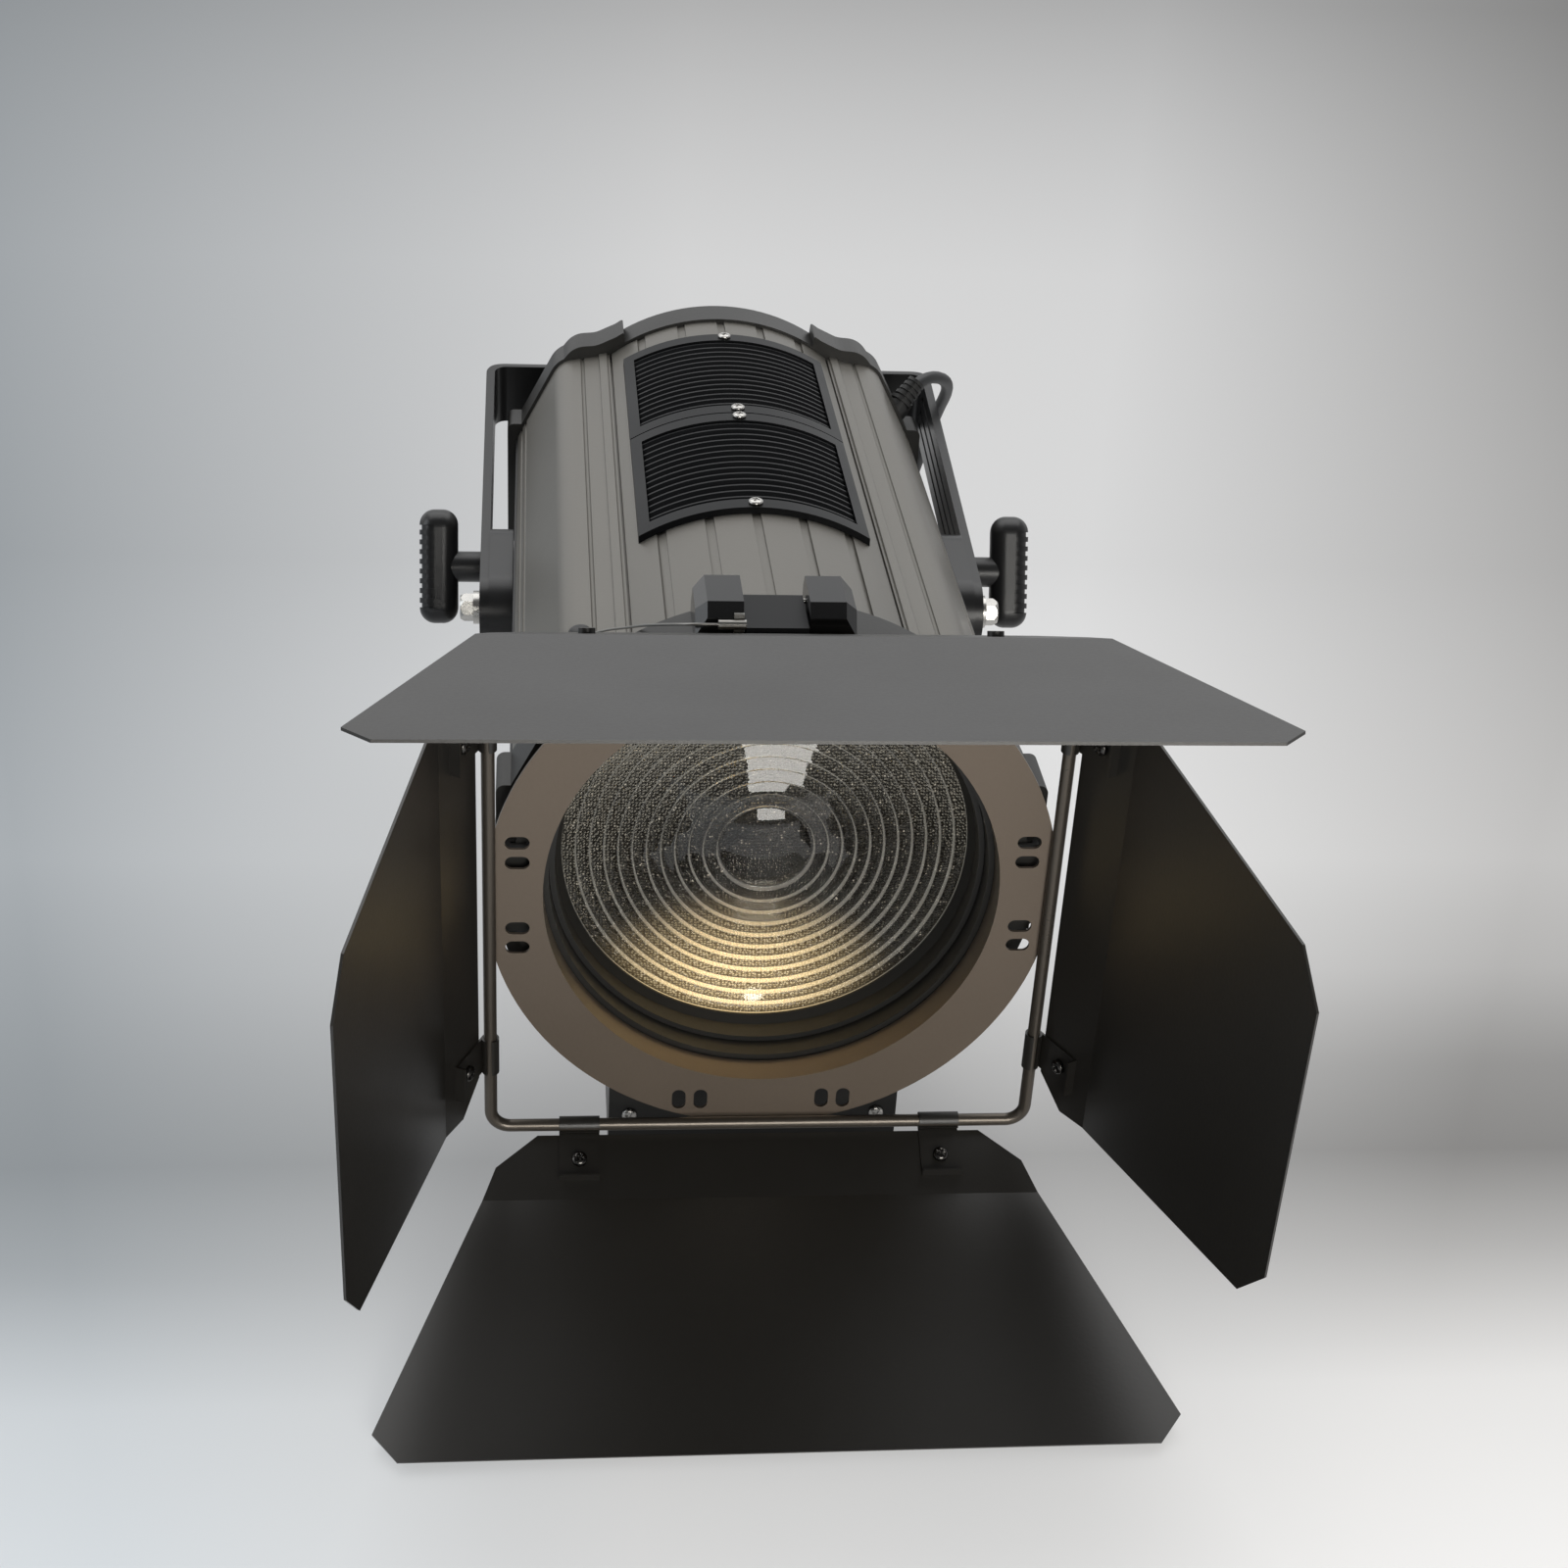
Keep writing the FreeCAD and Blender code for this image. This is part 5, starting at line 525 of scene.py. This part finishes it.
def lens_glass():
    """Pressed glass with painted glow, painted glints and painted crest highlights as emission.

    A ring's share, 0 at its crest and 1 at its foot, is the fraction of its steps out.
    """
    shade = Shade("lens_pressed_glass_painted_glow")
    x, y, z = (shade.axis(i) for i in range(3))
    height = z + BASE_Z * MM
    behind = shade.between(y, (LENS_BACK - 0.6 - PIVOT_Y) * MM, (LENS_BACK - 0.2 - PIVOT_Y) * MM)
    radius = (x * x + height * height) ** 0.5
    width = (LENS_RADIUS - LENS_FLANGE - LENS_CENTRE_RADIUS) / (LENS_STEPS - 1) * MM
    steps_out = (radius - LENS_CENTRE_RADIUS * MM) / width
    share = shade.node("ShaderNodeMath", {"operation": "FRACT"}, {0: steps_out})
    outside = shade.between(radius, (LENS_CENTRE_RADIUS - 1) * MM, LENS_CENTRE_RADIUS * MM)
    # Mask of the thin painted highlight lines at the ring crests.
    crest = (shade.between(share, 0.12, 0.03) + shade.between(share, 0.94, 1.0)) * outside
    # Painted ring shading: each ring's painted glow is brighter towards its middle.
    painted_ring_shading = share * (1 - share) * 4 * outside + (1 - outside) * 0.8
    sockets = {"Vector": shade.place(), "Scale": BEAD_SCALE, "Randomness": BEAD_SPREAD}
    bead = shade.between(shade.node("ShaderNodeTexVoronoi", None, sockets), 0.5, 0.1)
    # Painted glints: bright emission specks on some beads.
    painted_glint = bead * bead * bead * shade.between(shade.noise(PAINTED_GLINT_SCALE, 2), PAINTED_GLINT_LOW, PAINTED_GLINT_HIGH)
    # Mask of the painted warm glow low on the lens: an ellipse round its place, falling off squared.
    across, up = (x - PAINTED_GLOW_PLACE[0]) / PAINTED_GLOW_HALF[0], (height - PAINTED_GLOW_PLACE[1]) / PAINTED_GLOW_HALF[1]
    painted_glow_share = shade.between(across * across + up * up, 1.0, 0.0)
    painted_glow_share = painted_glow_share * painted_glow_share
    # The painted glow's colours: gold on the beads within it, the painted glints held in grey elsewhere, with
    # the painted ring shading.
    painted_gold_glow = shade.mix(bead, rgb(112, 92, 60), rgb(255, 232, 184))
    grey = shade.mix(painted_glint, PAINTED_GLOW_DARK, rgb(240, 230, 212))
    painted_glow = shade.mix(painted_ring_shading * 0.72 + 0.28, PAINTED_GLOW_DARK, shade.mix(painted_glow_share, grey, painted_gold_glow))
    # Colour of the painted crest highlight lines, warmer within the painted glow.
    painted_crest_line = shade.mix(crest, rgb(0, 0, 0), shade.mix(painted_glow_share, rgb(86, 84, 78), rgb(206, 180, 132)))
    shade.set(Base_Color=rgb(206, 204, 198), Transmission_Weight=1.0, IOR=1.49)
    shade.set(Roughness=behind * 0.06 + 0.03, Normal=shade.bump(bead * behind, BEAD_DEPTH, 0.4))
    # The painted glow on the back and the painted crest highlights on the front are the glass's emission.
    shade.set(Emission_Color=shade.mix(behind, painted_crest_line, painted_glow), Emission_Strength=PAINTED_GLOW_STRENGTH)
    return shade.material


lens_radii, lens_depths = lens_profile()
lens_mesh = closed_shells("stepped_lens", [turned_rings(lens_radii[1:-1], lens_depths[1:-1])])
piece("stepped_lens", lens_mesh, "housing", "lens_glass", lens_glass(), "lens")
print("lens: %d points on its profile" % len(lens_radii))

# %% [markdown]
# Behind the glass sits the light source: a round white board whose middle is covered with yellow
# phosphor under a small dome. One material serves the board: its colour goes by the distance from the axis.

# %% The light source
FIELD_RADIUS, FIELD_EDGE, CELL_SCALE = 26.0, 0.5, 420.0


def light_source_finish():
    """White board, and a yellow phosphor field inside a radius, told apart by the distance from the axis."""
    shade = Shade("light_source_board")
    x, z = shade.axis(0), shade.axis(2) + BASE_Z * MM
    radius = (x * x + z * z) ** 0.5
    field = shade.between(radius, (FIELD_RADIUS + FIELD_EDGE) * MM, FIELD_RADIUS * MM)
    cells = shade.node("ShaderNodeTexVoronoi", None, {"Vector": shade.place(), "Scale": CELL_SCALE})
    yellow = shade.mix(cells, rgb(214, 168, 82), rgb(240, 208, 130))
    shade.set(Base_Color=shade.mix(field, rgb(206, 202, 194), yellow), Roughness=0.34)
    return shade.material


finish_nodes(light_source_finish(), "led_board")
print("light source: field of %.0f mm radius" % FIELD_RADIUS)

# %% [markdown]
# A pan-head screw is a flattened dome with a cross sunk into it. Its height is a function of the place
# on the head, so one grid of rings serves every screw: the cross is where the smaller of the two
# sideways distances is small. All heads of one group are one mesh, each set out by its own three axes.

# %% Screw heads
HEAD_RADIUS, HEAD_HEIGHT, HEAD_FALL, HEAD_SINK = 3.6, 2.2, 0.45, 0.1
HEAD_POINTS, HEAD_SHARES = 56, np.array((*np.linspace(0.12, 1, 17), 1, 0.98))
CROSS_HALF, CROSS_REACH, CROSS_DEPTH = 0.5, 2.1, 1.1
SIDE_SLOPE, END_SLOPE = 0.2, 0.3
ASLANT = (0.31, 0.77, 0.56)


def screw_head(seat, out, turn, height=HEAD_HEIGHT, depth=CROSS_DEPTH):
    """Rings of one head: height falls by a fourth power to the rim, less the cross's smooth pit."""
    radii = HEAD_SHARES * HEAD_RADIUS
    angle = np.arange(HEAD_POINTS) * 2 * math.pi / HEAD_POINTS + turn
    x, y = np.outer(radii, np.cos(angle)), np.outer(radii, np.sin(angle))
    share = (np.hypot(x, y) / HEAD_RADIUS) ** 4
    near, far = np.minimum(abs(x), abs(y)), np.maximum(abs(x), abs(y))
    pit = np.clip((CROSS_HALF - near) / SIDE_SLOPE + 0.5, 0, 1)
    pit *= np.clip((CROSS_REACH - far) / END_SLOPE + 0.5, 0, 1)
    rise = height * (1 - HEAD_FALL * share) - depth * pit
    rise[-2:] = -HEAD_SINK
    out = np.array(out, float) / np.linalg.norm(out)
    along = np.cross(out, ASLANT)
    along /= np.linalg.norm(along)
    aside = np.cross(out, along)
    return row_place(np.array(seat) + x[..., None] * along + y[..., None] * aside + rise[..., None] * out)


def leaf_place(point, rest_angle, around):
    """Where a point of a flat leaf on its own hinge comes to: opened, moved out, turned to its side."""
    opened = Matrix.Rotation(math.radians(-rest_angle), 3, "X") @ Vector(point)
    return np.array(Matrix.Rotation(math.radians(around), 3, "Y") @ (opened + Vector((0, ROD_Y, ROD_REACH))))


VENT_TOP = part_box("vent_grille_front")[1][2] / MM + BASE_Z
ROD_Y, ROD_REACH, CLIP_X, CLIP_SCREW_Y, CLIP_INNER = -2.2, 127.545, 86.0, -17.0, 3.05
CLIP_HEAD_HEIGHT, CLIP_CROSS_DEPTH = 2.95, 0.65
LEAF_SIDES = (("top", 25.1, 0), ("right", 28.6, 90), ("bottom", 25.1, 180), ("left", 25.9, 270))
VENT_SCREWS_Y = (172, 284.9, 296.1, 406)
BOX_SCREWS_X, BOX_FRONT_Y, BOX_SCREW_Z = (-61, 61), 30, -147


def head_piece(name, heads, body, material, *stands_for):
    """One piece for a group of screw heads on one body."""
    piece(name, closed_shells(name, heads), body, "screw_steel", material, *stands_for)


vent_heads = [screw_head((0, y, VENT_TOP), (0, 0, 1), y) for y in VENT_SCREWS_Y]
box_heads = [screw_head((x, BOX_FRONT_Y, BOX_SCREW_Z), (0, -1, 0), x) for x in BOX_SCREWS_X]
head_piece("vent_screw_heads", vent_heads, "housing", zinc_steel, "vent_screws")
head_piece("box_screw_heads", box_heads, "housing", zinc_steel, "driver_box_screws")
for side, angle, around in LEAF_SIDES:
    heads = []
    for x in (-CLIP_X, CLIP_X):
        seat = leaf_place((x, CLIP_SCREW_Y, CLIP_INNER), angle, around)
        out = seat - leaf_place((x, CLIP_SCREW_Y, CLIP_INNER + 1), angle, around)
        heads.append(screw_head(seat, out, x, CLIP_HEAD_HEIGHT, CLIP_CROSS_DEPTH))
    head_piece("clip_screw_heads_" + side, heads, "flap_" + side, screw_black)
print("screw heads: %d" % (len(vent_heads) + len(box_heads) + 2 * len(LEAF_SIDES)))

# %% [markdown]
# The coiled cord is held by a strap. It is a flat band whose middle line is a rounded rectangle round
# the bundle of turns; a second layer over part of the way is the end that is pressed down.

# %% The tie round the coil
TIE_HEADING, TIE_POINTS, TIE_POWER = math.radians(225), 72, 2.6
TIE_HALF_SPAN, TIE_HALF_RISE, TIE_FOOT, TIE_SOLE = 13.2, 7.9, 7.8, 0.05
TIE_THICK, TIE_LAP, LAP_STEEPNESS, LAP_ANGLE, LAP_REACH = 0.6, 0.9, 12, 1.2, 0.1
TIE_SECTION = ((-6, 0), (6, 0), (6.3, 0.3), (6.3, 0.7), (6, 1), (-6, 1), (-6.3, 0.7), (-6.3, 0.3))


def coil_tie():
    """Band round the coil's bundle: a superellipse upright through the coil's axis, swept along the coil."""
    out = np.array((math.cos(TIE_HEADING), math.sin(TIE_HEADING), 0))
    along = np.array((-out[1], out[0], 0))
    middle = np.array((*COIL_CENTRE, BASE_Z + TIE_HALF_RISE)) + out * (COIL_OUTER - 2 * COIL_HALF_STEP)
    angle = np.arange(TIE_POINTS) * 2 * math.pi / TIE_POINTS
    lap = np.cos(angle - LAP_ANGLE) - LAP_REACH
    layer = TIE_THICK + TIE_LAP / (1 + np.exp(-LAP_STEEPNESS * lap))
    edge = np.abs(np.cos(angle)) ** TIE_POWER + np.abs(np.sin(angle)) ** TIE_POWER
    reach = edge ** (-1 / TIE_POWER)
    rings = []
    for wide, thick in TIE_SECTION:
        span = (TIE_HALF_SPAN + layer * thick) * reach * np.cos(angle)
        rise = (TIE_HALF_RISE + layer * thick) * reach * np.sin(angle)
        rise = np.maximum(rise, -TIE_FOOT - TIE_SOLE * thick)
        rings.append(middle + span[:, None] * out + rise[:, None] * (0, 0, 1) + along * wide)
    return outward(grid_mesh("coil_tie", row_place(np.stack(rings)), wrap=True))


tie = coil_tie()
piece("coil_tie", tie, "housing", "cord_rubber", strap_weave)
print("tie: %d faces" % len(tie.polygons))

# %% [markdown]
# The lamp stands on pale paper that runs far back, so the picture shows paper only. Its tone is painted
# light and shade, a soft gradient: white in front, a grey band of painted shade beside the lamp, paler
# behind it and darker towards the corners.
# Half of this painted tone is lit as the paper's colour, half is shown to the camera as it is written,
# so the shadow stays and the tone does not depend on the lamps.

# %% The stage
PAPER_HALF_WIDTH, PAPER_FRONT, PAPER_BACK, PAPER_POINTS = 6, -6, 9, 7
RAMP_FRONT, RAMP_BACK = -0.6, 2.4
RAMP_STOPS = (0.0, 0.05, 0.08, 0.105, 0.13, 0.16, 0.2, 0.34, 0.57, 1.0)
# Grey levels of painted light and shade along the depth, for the middle, left and right ramps, each with a
# tint.
PAINTED_SHADE_RAMPS = (
    ((243, 232, 206, 180, 204, 228, 240, 218, 216, 186), (0, 0, 0)),
    ((232, 214, 170, 150, 156, 165, 176, 158, 163, 152), (-5, 0, 4)),
    ((252, 236, 184, 140, 152, 184, 198, 172, 150, 126), (1, 0, -1)),
)
VIEW_DRIFT, VIEW_MIDDLE, VIEW_SPREAD, VIEW_HALF = 0.12, 0.04, 0.38, 0.47
SHOWN_SHARE = 0.5


def stage_sheet():
    """A flat sheet on the floor; u runs across, v runs back."""
    across = np.linspace(-PAPER_HALF_WIDTH, PAPER_HALF_WIDTH, PAPER_POINTS)
    back = np.linspace(PAPER_FRONT, PAPER_BACK, PAPER_POINTS)
    across, back = np.meshgrid(across, back, indexing="ij")
    return grid_mesh("stage_paper", np.stack([across, back, 0 * across], -1))


def stage_material():
    """Three ramps of painted light and shade along the depth, for the middle, left and right, mixed by the
    place across.
    """
    shade = Shade("stage_paper")
    back = shade.axis(1)
    depth = shade.between(back, RAMP_FRONT, RAMP_BACK)
    ramps = []
    for levels, tint in PAINTED_SHADE_RAMPS:
        colours = [(at, rgb(*(grey + t for t in tint))[:3]) for at, grey in zip(RAMP_STOPS, levels)]
        ramps.append(shade.node("ShaderNodeValToRGB", {"stops": colours}, {0: depth}))
    near = shade.node("ShaderNodeMath", {"operation": "MAXIMUM"}, {0: back, 1: RAMP_FRONT})
    across = (shade.axis(0) - near * VIEW_DRIFT - VIEW_MIDDLE) / (near * VIEW_SPREAD + VIEW_HALF)
    # Painted light and shade: the middle ramp, giving way to the left and right ramps across the view.
    painted_tone = shade.mix(shade.between(across, -0.15, -0.95), ramps[0], ramps[1])
    painted_tone = shade.mix(shade.between(across, 0.35, 1.0), painted_tone, ramps[2])
    shade.set(Base_Color=painted_tone, Roughness=0.9, Specular_IOR_Level=0.2)
    kinds = ("Is Camera Ray", "Is Glossy Ray", "Is Transmission Ray")
    rays = [shade.node("ShaderNodeLightPath", output=kind) for kind in kinds]
    shown = (rays[0] + rays[1] + rays[2]) * SHOWN_SHARE
    plain = shade.node("ShaderNodeEmission", None, {"Color": painted_tone, "Strength": 1.0})
    lit = Value(shade, shade.shader.outputs[0])
    closing = shade.node("ShaderNodeMixShader", None, {0: shown, 1: lit, 2: plain})
    shade.tree.links.new(closing.socket, shade.tree.nodes["Material Output"].inputs["Surface"])
    return shade.material


stage = bpy.data.objects.new("stage_paper", stage_sheet())
bpy.context.collection.objects.link(stage)
stage.data.materials.append(stage_material())
print("stage: paper of %d faces" % len(stage.data.polygons))


# %% [markdown]
# A large soft lamp stands above and behind, so that the top surfaces pick up a grey sheen while the faces
# towards the camera stay dark, as in the photograph. A second one is at the left, and a small one in
# front gives the lens its window. The world is a soft gradient, and plain grey to the camera.

# %% Lights
SKY_TILT, SKY_EDGE = 0.4, 0.7
SKY_DARK, SKY_BRIGHT, SKY_SEEN = rgb(108, 108, 108), rgb(246, 247, 248), rgb(205, 207, 209)


def soft_lamp(name, place, target, size, power, colour=(1, 1, 1)):
    """A soft rectangular lamp at a place in metres, turned to look at its target."""
    data = bpy.data.lights.new(name, "AREA")
    data.shape = "RECTANGLE"
    data.size, data.size_y = size
    data.energy = power
    data.color = colour
    lamp = bpy.data.objects.new(name, data)
    bpy.context.collection.objects.link(lamp)
    way = Vector(target) - Vector(place)
    lamp.matrix_world = Matrix.Translation(place) @ way.to_track_quat("-Z", "Y").to_matrix().to_4x4()


soft_lamp("lamp_above", (0.0, 0.9, 2.4), (0, 0.0, 0.2), (3.4, 2.2), 37)
soft_lamp("lamp_left", (-2.4, -0.2, 1.3), (0, 0, 0.2), (1.4, 1.6), 13, (0.9, 0.95, 1.0))
soft_lamp("lamp_window", (0.3, -2.2, 0.7), (0, -0.28, 0.2), (1.0, 0.8), 24, (1.0, 0.98, 0.93))

world = bpy.data.worlds.new("world")
bpy.context.scene.world = world
world.use_nodes = True


class Sky(Shade):
    """The world's tree takes the same nodes and sums as a material's."""

    def __init__(self, world):
        self.tree = world.node_tree
        self.shader = self.tree.nodes["Background"]


sky = Sky(world)
heading = sky.node("ShaderNodeTexCoord", output="Generated")
back, up = (sky.node("ShaderNodeSeparateXYZ", None, {0: heading}, i) for i in (1, 2))
room = sky.mix(sky.between(back - up * SKY_TILT, -SKY_EDGE, SKY_EDGE), SKY_DARK, SKY_BRIGHT)
plain = sky.node("ShaderNodeLightPath", output="Is Camera Ray")
sky.set(Color=sky.mix(plain, room, SKY_SEEN), Strength=1.0)
bpy.context.scene.view_settings.view_transform = "Standard"
print("lights:", len(bpy.data.lights))
